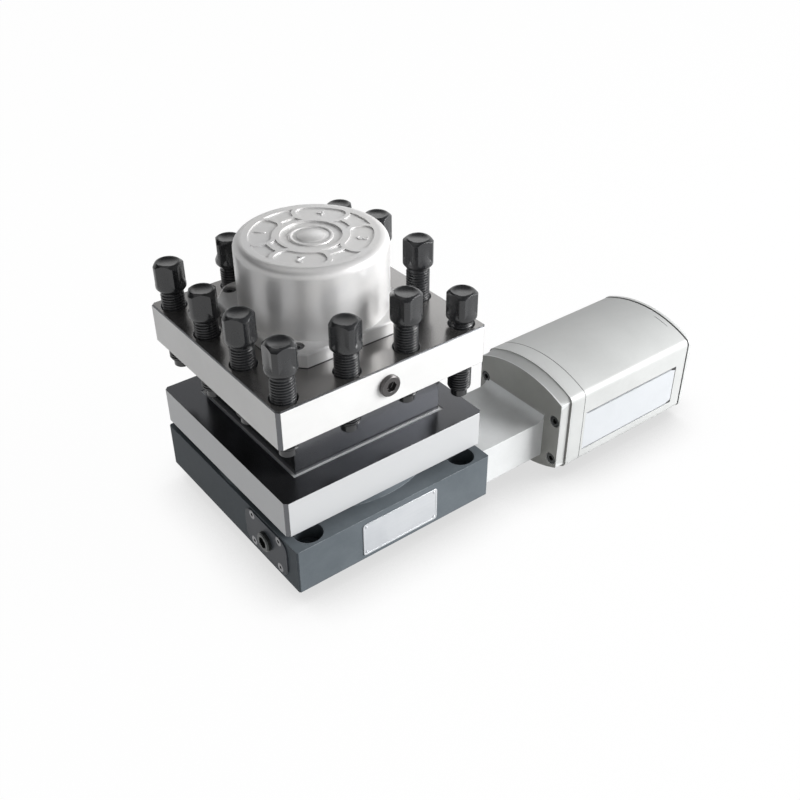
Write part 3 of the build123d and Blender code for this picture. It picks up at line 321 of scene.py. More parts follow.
@dataclass(frozen=True)
class Finish:
    """A surface of one colour with grain, slow changes and worn edges."""

    name: str
    colour: Colour
    tint: Colour
    metallic: float
    roughness: float
    gloss_spread: float = 0.06
    grain: float = 0.0005
    grain_depth: float = 0.00002
    marks: Axis = Axis.EVERY_WAY
    cloud: float = 0.035
    wear: float = 0.4
    wear_width: float = 0.0005
    worn: Colour = (0.45, 0.46, 0.48)
    coat: float = 0.0
    ior: float = 1.5

    def build(self, effects: Effects) -> Material:
        """Make the material.

        Args:
            effects: The shared node groups.

        Returns:
            The finished material.
        """
        made = bpy.data.materials.new(self.name)
        made.use_nodes = True
        graph = Graph(made.node_tree)
        wear = graph.group(effects.edge_wear, {"Width": self.wear_width, "Amount": self.wear})
        grain = graph.group(effects.grain, {"Size": self.grain, "Stretch": self.marks.value})
        cloud = graph.group(effects.clouds, {"Size": self.cloud})
        layers = Layers(graph, effects, grain, cloud)
        colour = graph.mix(wear.outputs["Mask"], self.body_colour(layers), rgba(self.worn))
        gloss = graph.math("ADD", self.roughness - self.gloss_spread,
                           graph.math("MULTIPLY", grain.outputs["Tone"], self.gloss_spread))
        gloss = graph.math("ADD", gloss, graph.math("MULTIPLY", cloud.outputs["Value"], self.gloss_spread))
        bump = graph.node("ShaderNodeBump", {"Height": grain.outputs["Height"], "Strength": 1.0,
                                             "Distance": self.grain_depth,
                                             "Normal": wear.outputs["Normal"]})
        shader = graph.node("ShaderNodeBsdfPrincipled", {
            "Base Color": colour, "Metallic": self.body_metal(layers),
            "Roughness": self.body_gloss(layers, gloss), "IOR": self.ior, "Normal": bump.outputs[0],
            "Coat Weight": self.coat, "Coat Roughness": 0.12})
        graph.node("ShaderNodeOutputMaterial", {"Surface": shader.outputs[0]})
        return made

    def body_colour(self, layers: Layers) -> Socket:
        """Colour before wear: grain and slow changes between the two tones.

        Args:
            layers: The material's graph, grain and clouds.

        Returns:
            The colour.
        """
        graph = layers.graph
        share = graph.math("ADD", graph.math("MULTIPLY", layers.grain.outputs["Tone"], 0.6),
                           graph.math("MULTIPLY", layers.cloud.outputs["Value"], 0.4), clamp=True)
        return graph.mix(share, rgba(self.colour), rgba(self.tint))

    def body_gloss(self, layers: Layers, gloss: Socket) -> Socket:
        """Roughness of the surface; a finish with several faces changes it."""
        return gloss

    def body_metal(self, layers: Layers) -> Value:
        """Metallic share of the surface; a finish with several faces changes it."""
        return self.metallic


@dataclass(frozen=True)
class PlateFinish(Finish):
    """Blackened steel plates whose outer sides and relief grooves are ground bright; the grooves are also
    painted bright as a highlight, and the sides low down are painted darker as shade.
    """

    half_width: float = 0.0805
    ground: Colour = (0.78, 0.78, 0.775)
    ground_tint: Colour = (0.7, 0.7, 0.695)
    ground_metal: float = 0.2
    ground_gloss: float = 0.36
    groove_height: float = 0.0675
    groove_slack: float = 0.0001
    grinding: float = 0.0012
    polished: Colour = (0.37, 0.362, 0.355)
    polished_tint: Colour = (0.31, 0.304, 0.3)
    top_height: float = 0.12
    # Below low_height the ground sides take the darker colour that follows: painted shade on the lower
    # flange.
    low_height: float = 0.07
    low_ground: Colour = (0.56, 0.57, 0.58)

    def _bright(self, layers: Layers) -> Socket:
        """Mask of the ground faces, whose relief grooves are also painted bright as a highlight.

        Args:
            layers: The material's graph, grain and clouds.

        Returns:
            One on the outer sides and in the relief grooves, nought elsewhere.
        """
        graph = layers.graph
        faces = graph.group(layers.effects.plate_faces, {"Half Width": self.half_width})
        # Painted highlight: the relief grooves' floors at groove_height are ground, and are also painted
        # bright for the highlight along the core's foot.
        level = graph.math("COMPARE", faces.outputs["Height"], self.groove_height, self.groove_slack)
        groove = graph.math("MULTIPLY", level, faces.outputs["Up"])
        return graph.math("MAXIMUM", faces.outputs["Sides"], groove)

    def body_colour(self, layers: Layers) -> Socket:
        """Dark body with bright ground sides, painted darker as shade on the lower flange."""
        graph, effects = layers.graph, layers.effects
        dark = super().body_colour(layers)
        marks = graph.group(effects.grain, {"Size": self.grinding, "Stretch": Axis.ALONG_X.value,
                                            "Detail": 5.0})
        share = graph.math("ADD", graph.math("MULTIPLY", marks.outputs["Tone"], 0.5),
                           graph.math("MULTIPLY", layers.cloud.outputs["Value"], 0.5))
        bright = graph.mix(share, rgba(self.ground_tint), rgba(self.ground))
        level = graph.mix(share, rgba(self.polished_tint), rgba(self.polished))
        faces = graph.group(effects.plate_faces, {"Half Width": self.half_width})
        top = graph.math("GREATER_THAN", faces.outputs["Height"], self.top_height)
        body = graph.mix(graph.math("MULTIPLY", faces.outputs["Up"], top), dark, level)
        # Painted shade: the ground sides below low_height, on the lower flange, take a darker colour.
        low = graph.math("LESS_THAN", faces.outputs["Height"], self.low_height)
        bright = graph.mix(low, bright, rgba(self.low_ground))
        return graph.mix(self._bright(layers), body, bright)

    def body_gloss(self, layers: Layers, gloss: Socket) -> Socket:
        """Give the ground faces their own roughness."""
        graph, bright = layers.graph, self._bright(layers)
        kept = graph.math("MULTIPLY", gloss, graph.math("SUBTRACT", 1.0, bright))
        return graph.math("ADD", kept, graph.math("MULTIPLY", bright, self.ground_gloss))

    def body_metal(self, layers: Layers) -> Value:
        """Give the ground faces their own metallic share."""
        change = layers.graph.math("MULTIPLY", self._bright(layers), self.ground_metal - self.metallic)
        return layers.graph.math("ADD", self.metallic, change)


@dataclass(frozen=True)
class MotorFinish(Finish):
    """Silver paint, with painted shade on the faces that look along X beyond face_place, such as the front
    plate's face toward the turret.
    """

    # face and its tint are the colours of painted shade on the faces that look along X.
    face_place: float = 0.139
    face: Colour = (0.31, 0.312, 0.292)
    face_tint: Colour = (0.36, 0.362, 0.342)

    def body_colour(self, layers: Layers) -> Socket:
        """Paint all over, with painted shade on the faces that look along X, such as the one that looks at
        the turret.
        """
        graph = layers.graph
        paint = super().body_colour(layers)
        faces = graph.group(layers.effects.plate_faces, {"Half Width": self.face_place})
        # Painted shade: the faces that look along X take a darker colour, for the shade on the front plate's
        # face toward the turret.
        painted_shade = graph.mix(layers.cloud.outputs["Value"], rgba(self.face), rgba(self.face_tint))
        return graph.mix(faces.outputs["Left"], paint, painted_shade)


FINISHES: dict[str, Finish] = {
    "base_casting": Finish(
        "Base blue-grey", (0.094, 0.11, 0.123), (0.143, 0.163, 0.178), 0.0, 0.45, grain=0.0007, wear=0.6,
        wear_width=0.0006, worn=(0.34, 0.36, 0.39), ior=1.12),
    "turret_steel": PlateFinish(
        "Blackened turret steel", (0.122, 0.126, 0.136), (0.145, 0.147, 0.154), 0.92, 0.22,
        gloss_spread=0.05, grain=0.0006, grain_depth=0.000002, wear=0.5, worn=(0.5, 0.5, 0.5)),
    "blackened_steel": Finish(
        "Bolt black oxide", (0.007, 0.0075, 0.009), (0.018, 0.019, 0.021), 0.0, 0.25, grain_depth=0.000012,
        wear=0.25, wear_width=0.0004, worn=(0.28, 0.28, 0.3), ior=1.6),
    "cap_metal": Finish(
        "Cap satin silver", (0.62, 0.622, 0.632), (0.74, 0.73, 0.715), 0.28, 0.32, grain=0.0006,
        grain_depth=0.00003, wear=0.25, wear_width=0.00022, worn=(0.82, 0.82, 0.84)),
    "motor_alloy": MotorFinish(
        "Motor silver paint", (0.475, 0.484, 0.479), (0.555, 0.566, 0.561), 0.05, 0.42,
        grain_depth=0.000012, wear=0.15, worn=(0.8, 0.8, 0.8)),
    "strip_metal": Finish(
        "Blank strip", (0.52, 0.54, 0.56), (0.58, 0.6, 0.625), 0.1, 0.4, grain=0.0006, grain_depth=0.00001,
        wear=0.1),
    # The arm casting takes the same painted shade on its faces that look along X.
    "seat_alloy": MotorFinish(
        "Motor arm casting", (0.58, 0.59, 0.59), (0.71, 0.725, 0.73), 0.1, 0.42, grain=0.0007, wear=0.2,
        worn=(0.75, 0.75, 0.75)),
    "cover_paint": Finish(
        "Cover blue-grey", (0.05, 0.056, 0.066), (0.075, 0.084, 0.097), 0.0, 0.42, grain=0.0007, wear=0.5,
        worn=(0.34, 0.36, 0.39), ior=1.25),
    "screw_steel": Finish(
        "Screw steel", (0.16, 0.16, 0.165), (0.28, 0.28, 0.29), 0.9, 0.3, grain=0.0004, wear=0.5,
        wear_width=0.0003, worn=(0.7, 0.7, 0.72)),
    "plug_steel": Finish(
        "Plug grey steel", (0.06, 0.057, 0.057), (0.11, 0.104, 0.104), 0.8, 0.32, grain=0.0004, wear=0.6,
        wear_width=0.0004, worn=(0.5, 0.5, 0.5)),
    "gear_steel": Finish(
        "Hardened steel", (0.3, 0.3, 0.31), (0.42, 0.42, 0.43), 0.95, 0.28, marks=Axis.ALONG_X, wear=0.3,
        worn=(0.7, 0.7, 0.72)),
    "wheel_bronze": Finish(
        "Bronze", (0.42, 0.24, 0.09), (0.58, 0.36, 0.15), 0.95, 0.3, wear=0.3, worn=(0.8, 0.6, 0.35)),
    "shaft_steel": Finish(
        "Turned steel", (0.3, 0.3, 0.31), (0.4, 0.4, 0.41), 0.95, 0.25, marks=Axis.ALONG_Z, wear=0.3),
    "bearing_steel": Finish(
        "Bearing steel", (0.5, 0.5, 0.52), (0.62, 0.62, 0.64), 1.0, 0.16, grain=0.0004,
        grain_depth=0.000004, wear=0.1),
    "seal_rubber": Finish(
        "Seal rubber", (0.012, 0.012, 0.012), (0.022, 0.022, 0.022), 0.0, 0.55, grain=0.0006, wear=0.1,
        worn=(0.05, 0.05, 0.05)),
    "core_iron": Finish(
        "Core laminations", (0.12, 0.12, 0.125), (0.25, 0.25, 0.26), 0.8, 0.4, marks=Axis.ALONG_Z,
        wear=0.2),
    "winding": Finish(
        "Varnished winding", (0.3, 0.1, 0.03), (0.48, 0.2, 0.07), 0.7, 0.3, grain=0.0009,
        grain_depth=0.0002, marks=Axis.ALONG_Y, wear=0.1, coat=0.4),
    "board": Finish(
        "Board green", (0.01, 0.09, 0.035), (0.015, 0.13, 0.05), 0.0, 0.4, grain=0.001, wear=0.1, coat=0.3),
}
PLATE_METAL = Finish(
    "Plain label plate", (0.5, 0.52, 0.55), (0.66, 0.68, 0.7), 0.6, 0.36, grain=0.0009, grain_depth=0.00001,
    marks=Axis.ALONG_X, wear=0.3, worn=(0.8, 0.8, 0.82))
# Painted shade: a flat grey for the bands along the blank strip's long edges, standing in for the shade of
# its steps.
STRIP_EDGE_SHADE = Finish(
    "Strip edge painted shade", (0.22, 0.235, 0.25), (0.28, 0.295, 0.31), 0.3, 0.42, grain=0.0006,
    marks=Axis.ALONG_X, wear=0.2)
DARK_SCREW = Finish(
    "Blackened screws", (0.035, 0.038, 0.038), (0.07, 0.074, 0.072), 0.7, 0.35, grain=0.0004, wear=0.35,
    wear_width=0.0003, worn=(0.35, 0.36, 0.36))


def put(name: str, data: bpy.types.ID) -> bpy.types.Object:
    """Put an object with the given data into the scene.

    Args:
        name: The object's name.
        data: Its mesh, camera, lamp or text.

    Returns:
        The new object.
    """
    made = bpy.data.objects.new(name, data)
    bpy.context.scene.collection.objects.link(made)
    return made


def new_object(name: str, mesh: Mesh, body: str, material: Material,
               at: Matrix | None = None) -> bpy.types.Object:
    """Put a mesh in the scene as a piece.

    Args:
        name: The piece's name.
        mesh: Its mesh.
        body: The body that it moves with.
        material: Its material.
        at: Where it stands in the frame.

    Returns:
        The new object.
    """
    made = put(name, mesh)
    if not mesh.materials:
        mesh.materials.append(material)
    if at is not None:
        made.matrix_world = at
    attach(made, body)
    LOG.info("piece %s rides on %s", name, body)
    return made


def finish_mesh(builder: BMesh, name: str, smooth: float = 35.0) -> Mesh:
    """Turn a built mesh into one that shades smoothly below an angle.

    Args:
        builder: The built mesh, which is freed.
        name: The mesh's name.
        smooth: The angle in degrees over which an edge stays sharp.

    Returns:
        The mesh.
    """
    bmesh.ops.remove_doubles(builder, verts=builder.verts, dist=1e-6)
    bmesh.ops.dissolve_degenerate(builder, edges=builder.edges, dist=1e-7)
    bmesh.ops.recalc_face_normals(builder, faces=builder.faces)
    mesh = bpy.data.meshes.new(name)
    builder.to_mesh(mesh)
    builder.free()
    mesh.shade_smooth()
    mesh.set_sharp_from_angle(angle=math.radians(smooth))
    return mesh


def add_piece(name: str, builder: BMesh, body: str,
              material: Material, smooth: float = 30.0) -> None:
    """Turn a built mesh into a piece that stands where it was built.

    Args:
        name: The piece's name.
        builder: The built mesh, which is freed.
        body: The body that it moves with.
        material: Its material.
        smooth: The angle in degrees over which an edge stays sharp.
    """
    new_object(name, finish_mesh(builder, name, smooth), body, material)


def circle(radius: float, count: int) -> list[Pair]:
    """Spread points evenly round a circle about the origin.

    Args:
        radius: The circle's radius.
        count: How many points it has.

    Returns:
        Their two coordinates.
    """
    turns = (2 * math.pi * k / count for k in range(count))
    return [(radius * math.cos(turn), radius * math.sin(turn)) for turn in turns]


def join_rings(builder: BMesh, rings: list[list[Vector]], closed: bool = False) -> None:
    """Join rings of points into a skin, with a fan at each end or closed on itself.

    Args:
        builder: The mesh to add to.
        rings: Rings of equally many points, from the top down.
        closed: Whether the last ring joins the first, which leaves no ends.
    """
    rows = [[builder.verts.new(point) for point in ring] for ring in rings]
    count = len(rows[0])
    for upper, lower in zip(rows, rows[1:] + rows[:1] if closed else rows[1:]):
        for k in range(count):
            follow = (k + 1) % count
            builder.faces.new((upper[k], lower[k], lower[follow], upper[follow]))
    for row in () if closed else (rows[0], rows[-1]):
        centre = builder.verts.new(sum((v.co for v in row), Vector()) / count)
        for k in range(count):
            builder.faces.new((row[k], row[(k + 1) % count], centre))


@dataclass
class ClampBolts:
    """The twelve square-headed bolts, with turned corners, dished tops and a cut thread."""

    material: Material
    square: float = 17.0
    corner_radius: float = 10.3
    top_radius: float = 7.6
    dish: float = 0.5
    dish_width: float = 2.6
    dish_edge: float = 0.05
    crown: float = 2.2
    ledge_top: float = 12.0
    ledge_end: float = 16.0
    head: float = 18.5
    soft: float = 0.2
    rim_height: float = 0.5
    cone: float = 2.8
    cone_radius: float = 7.9
    neck_radius: float = 7.2
    neck: float = 1.0
    thread_radius: float = 8.0
    thread_depth: float = 1.15
    pitch: float = 2.0
    crest_width: float = 1.75
    flank_slope: float = 4.0
    least_crest: float = 0.3
    overlap: float = 0.3
    dog_radius: float = 5.6
    dog: float = 6.0
    dog_edge: float = 0.6
    length: float = 80.0
    turns: tuple[float, ...] = (43.0, 58.0, 40.0, 87.0, 32.0, 11.0, 5.0, 86.0, 26.0, 60.0, 50.0, 65.0)
    around: int = 32
    rows_per_pitch: int = 8
    flat_steps: int = 12
    corner_steps: int = 6
    crown_steps: int = 5
    crown_power: float = 1.25
    cone_steps: int = 4

    def _columns(self) -> list[Pair]:
        """Angles round the head, each with how far the square's flat lets it reach."""
        half = self.square / 2
        reach = math.acos(half / self.corner_radius)
        columns = []
        for side in range(4):
            middle = side * math.pi / 2
            for k in range(self.flat_steps + 1):
                turn = -reach + 2 * reach * k / self.flat_steps
                columns.append((middle + turn, half / math.cos(turn)))
            for k in range(1, self.corner_steps):
                turn = reach + (math.pi / 2 - 2 * reach) * k / self.corner_steps
                columns.append((middle + turn, self.corner_radius))
        return columns

    def _profile(self, limit: float) -> list[Pair]:
        """Outline of the head down one column, from the dished top to the neck.

        Args:
            limit: How far the square's flat lets the column reach.

        Returns:
            Pairs of radius and height, equally many for every column.
        """
        span = self.corner_radius - self.top_radius
        points = [(self.top_radius - self.dish_width, -self.dish),
                  (self.top_radius - self.dish_width / 2, -self.dish_edge), (self.top_radius, 0.0)]
        for k in range(1, self.crown_steps + 1):
            share = (limit - self.top_radius) / span * k / self.crown_steps
            points.append((self.top_radius + span * share, -self.crown * share ** self.crown_power))
        spread = (self.corner_radius - limit) / (self.corner_radius - self.square / 2)
        flat_end = -self.ledge_end + (self.ledge_end - self.ledge_top) * spread
        points += [(limit, flat_end), (self.corner_radius, -self.ledge_end)]
        low = -self.head
        rim = self.corner_radius - self.soft
        points += [(self.corner_radius, low + self.rim_height), (rim, low)]
        for k in range(1, self.cone_steps + 1):
            share = k / self.cone_steps
            points.append((rim + (self.cone_radius - rim) * share, low - self.cone * share))
        low -= self.cone
        return points + [(self.neck_radius, low - self.soft), (self.neck_radius, low - self.neck)]

    def head_mesh(self) -> Mesh:
        """Mesh of the head, from its dished top to the neck."""
        columns = [(angle, self._profile(limit)) for angle, limit in self._columns()]
        rings = [[Vector((profile[row][0] * math.cos(angle), profile[row][0] * math.sin(angle),
                          profile[row][1])) * MM for angle, profile in columns]
                 for row in range(len(columns[0][1]))]
        builder = bmesh.new()
        join_rings(builder, rings)
        return finish_mesh(builder, "clamp_bolt_head", 28.0)

    def shank_mesh(self) -> Mesh:
        """Mesh of the neck, the cut thread and the dog point."""
        top = -self.head - self.cone - self.overlap
        start = -self.head - self.cone - self.neck
        end = -self.length + self.dog
        step = self.pitch / self.rows_per_pitch
        count = int((start - end) / step)
        rings = [self._round(self.neck_radius, top)]
        for row in range(count + 1):
            height = start - row * (start - end) / count
            near_end = min(start - height, height - end)
            fade = min(1.0, self.least_crest + near_end / self.pitch)
            rings.append(self._thread_ring(height, fade))
        rings += [self._round(self.dog_radius, end - 0.1),
                  self._round(self.dog_radius, -self.length + self.dog_edge),
                  self._round(self.dog_radius - self.dog_edge, -self.length)]
        builder = bmesh.new()
        join_rings(builder, rings)
        return finish_mesh(builder, "clamp_bolt_shank", 40.0)

    def _round(self, radius: float, height: float) -> list[Vector]:
        """Plain circle of points at one height."""
        return [Vector((x, y, height)) * MM for x, y in circle(radius, self.around)]

    def _thread_ring(self, height: float, fade: float) -> list[Vector]:
        """One level through the thread.

        Args:
            height: The level's height below the head's top.
            fade: How much of the thread's crest there is, from 0 to 1.

        Returns:
            Points round the level.
        """
        points = []
        root = self.thread_radius - self.thread_depth
        for k in range(self.around):
            angle = 2 * math.pi * k / self.around
            phase = (height / self.pitch - angle / (2 * math.pi)) % 1.0
            rise = max(0.0, min(1.0, self.crest_width - abs(phase - 0.5) * self.flank_slope))
            radius = root + self.thread_depth * rise * fade
            points.append(Vector((radius * math.cos(angle), radius * math.sin(angle), height)) * MM)
        return points

    def build(self) -> None:
        """Stand each bolt where its node stands."""
        head, shank = self.head_mesh(), self.shank_mesh()
        for number, turn in enumerate(self.turns, start=1):
            node = f"clamp_bolt_{number:02d}"
            low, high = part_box(node)
            centre = (low + high) / 2
            at = (Matrix.Translation((centre.x, centre.y, high.z))
                  @ Matrix.Rotation(math.radians(turn), 4, "Z"))
            top = new_object(f"{node}_head", head, node, self.material, at)
            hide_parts(node)
            new_object(f"{node}_shank", shank, node, self.material, at)


@dataclass
class Dial:
    """The raised station numbers in the cap's sunk fields, and a plain turned boss in the middle."""

    material: Material
    centre_sunk: float = 1.2
    boss: tuple[Pair, ...] = ((14.6, 0.0), (14.3, 0.7), (13.9, 0.9), (12.6, 0.9), (12.2, 0.7),
                               (11.9, 0.3), (9.4, 0.3), (9.1, 0.6), (8.7, 0.8))
    radius: float = 32.6
    height: float = 8.0
    rise: float = 0.45
    sunk: float = 0.8
    angles: tuple[float, ...] = (135.0, -135.0, -45.0, 45.0)
    letter_scale: float = 1.35
    soft_edge: float = 0.08
    thinner: float = 0.12
    around: int = 96

    def build(self) -> None:
        """Set one number in each field, and the boss in the middle."""
        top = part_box("turret_cap")[1].z
        for number, angle in enumerate(self.angles, start=1):
            text = bpy.data.curves.new(f"station_number_{number}", "FONT")
            text.body = str(number)
            text.size = self.height * self.letter_scale * MM
            text.align_x = "CENTER"
            text.align_y = "CENTER"
            text.extrude = self.rise * MM
            text.bevel_depth = self.soft_edge * MM
            text.offset = -self.thinner * MM
            made = put(f"station_number_{number}", text)
            graph = bpy.context.evaluated_depsgraph_get()
            mesh = bpy.data.meshes.new_from_object(made.evaluated_get(graph))
            bpy.data.objects.remove(made)
            outward = math.radians(angle)
            at = (Matrix.Translation((self.radius * MM * math.cos(outward),
                                      self.radius * MM * math.sin(outward), top - self.sunk * MM))
                  @ Matrix.Rotation(outward - math.pi / 2, 4, "Z"))
            new_object(f"station_number_{number}", mesh, "turret", self.material, at)
        floor = Vector((0.0, 0.0, top - self.centre_sunk * MM))
        builder = bmesh.new()
        join_rings(builder, [[Vector((x, y, rise)) * MM + floor for x, y in circle(radius, self.around)]
                             for radius, rise in self.boss])
        add_piece("dial_boss", builder, "turret", self.material, 50.0)


@dataclass
class LabelPlate:
    """The plain metal plate on the front of the base, with nothing written on it."""

    material: Material
    left: float = -29.6
    right: float = 33.0
    low: float = 3.0
    high: float = 30.0
    thickness: float = 0.5
    corner: float = 2.0
    least_corner: float = 0.4
    edge: float = 0.1
    rim: float = 1.2
    rim_step: float = 0.15
    rivet_buried: float = 0.2
    rivet_inset: float = 2.6
    rivet_radius: float = 0.9
    rivet_rise: float = 0.7
    rivet_steps: int = 5
    rivet_around: int = 20
    rivet_flat: float = 0.92
    corner_steps: int = 6

    def _outline(self, inset: float, depth: float) -> list[Vector]:
        """Rounded rectangle in front of the base.

        Args:
            inset: How far inside the plate's edge it lies.
            depth: How far in front of the base it lies.

        Returns:
            Its points.
        """
        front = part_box("base_housing")[0].y
        radius = max(self.corner - inset, self.least_corner)
        x0, x1 = self.left + inset + radius, self.right - inset - radius
        z0, z1 = self.low + inset + radius, self.high - inset - radius
        points = []
        for (x, z), start in (((x1, z1), 0), ((x0, z1), 90), ((x0, z0), 180), ((x1, z0), 270)):
            for k in range(self.corner_steps + 1):
                angle = math.radians(start + 90 * k / self.corner_steps)
                points.append(Vector(((x + radius * math.cos(angle)) * MM, front - depth * MM,
                                      (z + radius * math.sin(angle)) * MM)))
        return points

    def build(self) -> None:
        """Lay the plate on the base's front."""
        builder = bmesh.new()
        rows = ((0.0, 0.0), (0.0, self.thickness - self.edge), (self.edge, self.thickness),
                (self.rim, self.thickness), (self.rim + self.rim_step, self.thickness - self.rim_step))
        join_rings(builder, [self._outline(*row) for row in rows])
        add_piece("label_plate", builder, "base", self.material)
        self._rivets()

    def _rivets(self) -> None:
        """Set a small domed rivet in each corner of the plate."""
        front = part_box("base_housing")[0].y
        rivet = bmesh.new()
        for x in (self.left + self.rivet_inset, self.right - self.rivet_inset):
            for z in (self.low + self.rivet_inset, self.high - self.rivet_inset):
                rings = []
                for row in range(self.rivet_steps + 1):
                    swing = math.pi / 2 * row / self.rivet_steps
                    radius = self.rivet_radius * math.cos(swing * self.rivet_flat)
                    depth = self.thickness - self.rivet_buried + self.rivet_rise * math.sin(swing)
                    rings.append([Vector(((x + u) * MM, front - depth * MM, (z + v) * MM))
                                  for u, v in circle(radius, self.rivet_around)])
                join_rings(rivet, rings)
        add_piece("label_rivets", rivet, "base", self.material, 50.0)


@dataclass
class MotorTrim:
    """Dark sealing rings in the motor's joints, and painted shade: dark wedges in the mouths of the small
    slots at the blank strip's end, grey bands along the strip's long edges, and a dark strip in a fine groove
    across the housing.
    """

    # The sealing rubber also serves as painted shade in the slot mouths and the fine groove.
    seal: Material
    paint: Material
    edging: Material
    centre_y: float = -56.6
    centre_z: float = 28.3
    half_width: float = 44.5
    half_flat: float = 30.3
    arch: float = 11.2
    corner: float = 6.0
    joints: tuple[Pair, ...] = ((163.0, 0.4), (277.0, 1.1))
    proud: float = 0.06
    buried: float = 1.2
    steps: int = 24
    rim: tuple[Pair, ...] = ((277.6, -3.0), (277.6, 0.3), (280.2, 0.3), (281.2, -0.4),
                              (281.6, -1.8), (281.6, -3.0))
    collar: tuple[tuple[float, ...], ...] = ((140.6, 0.03, 1.5, 3.2), (149.0, 0.03, 1.5, 0.6),
                                             (150.4, 0.04), (151.4, -1.2), (140.6, -1.0, 1.5, 3.2))
    rail: float = 1.0
    rail_ends: Pair = (0.002, 0.001)
    rail_depths: Pair = (-0.0004, 0.00004)
    slot_inset: float = 0.0006
    slot_depths: Pair = (-0.0004, 0.00008)
    slot_shape: tuple[Pair, ...] = ((-0.0045, -0.0001), (0.0007, -0.0018), (0.0007, 0.0013),
                                    (-0.0045, 0.0011))
    notch: tuple[float, float, float] = (272.0, -11.5, -25.9)
    notch_width: float = 0.45
    notch_taper: Pair = (0.1, 0.8)
    notch_depths: Pair = (-0.5, 0.05)
    notch_steps: int = 12
    corner_steps: int = 8

    def _outline(self, grow: float, narrow: float = 0.0, lower: float = 0.0) -> list[Pair]:
        """Section of the motor: flat sides, arched top and bottom, rounded corners.

        Args:
            grow: How far outside the housing it runs.
            narrow: How much nearer its sides are than the housing's.
            lower: How much less its arch rises.

        Returns:
            Pairs of width and height about the housing's centre.
        """
        half = self.half_width - narrow
        rise = self.arch * half * half / (self.half_width * self.half_width)
        radius = (rise * rise + half * half) / (2 * rise)
        middle = self.half_flat + self.arch - lower - radius
        side = half - self.corner
        reach = radius - self.corner
        level = middle + math.sqrt(reach * reach - side * side)
        lean = math.atan2(level - middle, side)
        top = []
        for k in range(self.steps + 1):
            angle = lean + (math.pi - 2 * lean) * k / self.steps
            top.append(((radius + grow) * math.cos(angle), middle + (radius + grow) * math.sin(angle)))
        right = []
        for k in range(self.corner_steps + 1):
            angle = lean * k / self.corner_steps
            right.append((side + (self.corner + grow) * math.cos(angle),
                          level + (self.corner + grow) * math.sin(angle)))
        left = [(-y, z) for y, z in reversed(right)]
        upper = right[:-1] + top + left[1:]
        return upper + [(-y, -z) for y, z in upper]

    def _hoop(self, builder: BMesh, rows: tuple[tuple[float, ...], ...]) -> None:
        """Run a closed band round the motor.

        Args:
            builder: The mesh to add to.
            rows: The band's section: each place along the motor, and what _outline takes there.
        """
        join_rings(builder, [[Vector((along, self.centre_y + y, self.centre_z + z)) * MM
                              for y, z in self._outline(*shape)] for along, *shape in rows], closed=True)

    def build(self) -> None:
        """Lay the sealing rings, the end cap's rim and the bell's collar, then the finer trim."""
        builder = bmesh.new()
        for x, width in self.joints:
            front, back = x - width / 2, x + width / 2
            self._hoop(builder, ((front, -self.buried), (front, self.proud),
                                 (back, self.proud), (back, -self.buried)))
        add_piece("motor_seals", builder, "base", self.seal, 40.0)
        for name, rows in (("end_cap_rim", self.rim), ("bell_collar", self.collar)):
            builder = bmesh.new()
            self._hoop(builder, rows)
            add_piece(name, builder, "base", self.paint, 40.0)
        self._slots()
        self._rails()
        self._notch()

    def _rails(self) -> None:
        """Lay flat grey bands along the strip's two long edges, painted shade for the shaded steps there."""
        low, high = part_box("side_strip")
        start, end = low.x + self.rail_ends[0], high.x - self.rail_ends[1]
        half = self.rail / 2 * MM
        builder = bmesh.new()
        # Each band is painted shade along one long edge of the strip.
        for level in (high.z - half / 2, low.z + half / 2):
            corners = [(start, level - half), (end, level - half), (end, level + half), (start, level + half)]
            join_rings(builder, [[Vector((x, low.y - depth, z)) for x, z in corners]
                                 for depth in self.rail_depths])
        add_piece("strip_edge_shade", builder, "base", self.edging)

    def _notch(self) -> None:
        """Lay a thin dark strip across the housing's top near its end, painted shade for a short fine groove.
        """
        along, start, end = self.notch
        first, spread = self.notch_taper
        deep, proud = self.notch_depths
        radius = (self.arch * self.arch + self.half_width * self.half_width) / (2 * self.arch)
        middle = self.half_flat + self.arch - radius
        rings = []
        for k in range(self.notch_steps + 1):
            share = k / self.notch_steps
            y = start + (end - start) * share
            wide = self.notch_width / 2 * math.sin(math.pi * (first + spread * share))
            z = middle + math.sqrt(radius * radius - y * y)
            rings.append([Vector((along + x, self.centre_y + y, self.centre_z + z + rise)) * MM
                          for x, rise in ((-wide, deep), (-wide, proud), (wide, proud), (wide, deep))])
        builder = bmesh.new()
        join_rings(builder, rings)
        add_piece("housing_groove_shade", builder, "base", self.seal)

    def _slots(self) -> None:
        """Lay flat dark wedges beside the strip's end, painted shade for the mouths of its two slots."""
        low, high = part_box("side_strip")
        builder = bmesh.new()
        for level, lean in ((high.z - self.slot_inset, 1.0), (low.z + self.slot_inset, -1.0)):
            join_rings(builder, [[Vector((high.x + along, low.y - depth, level + lean * up))
                                  for along, up in self.slot_shape] for depth in self.slot_depths])
        add_piece("strip_slot_shade", builder, "base", self.seal)


@dataclass(frozen=True)
class PinSprings:
    """The coil springs below the clutch pins, which the pins squeeze as they go down; the copy here keeps one
    shape.
    """

    still: float = 0.0778
    moving: float = 0.0858

    def build(self) -> None:
        """Put a copy of the coils, dressed as their solid, where the solid stood, and hide the solid."""
        made = put("squeezed_springs", frame["nodes"]["pin_springs"].data.copy())
        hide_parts("pin_springs")
        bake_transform(made)
        LOG.info("piece %s joins the turret to its clutch pins", made.name)


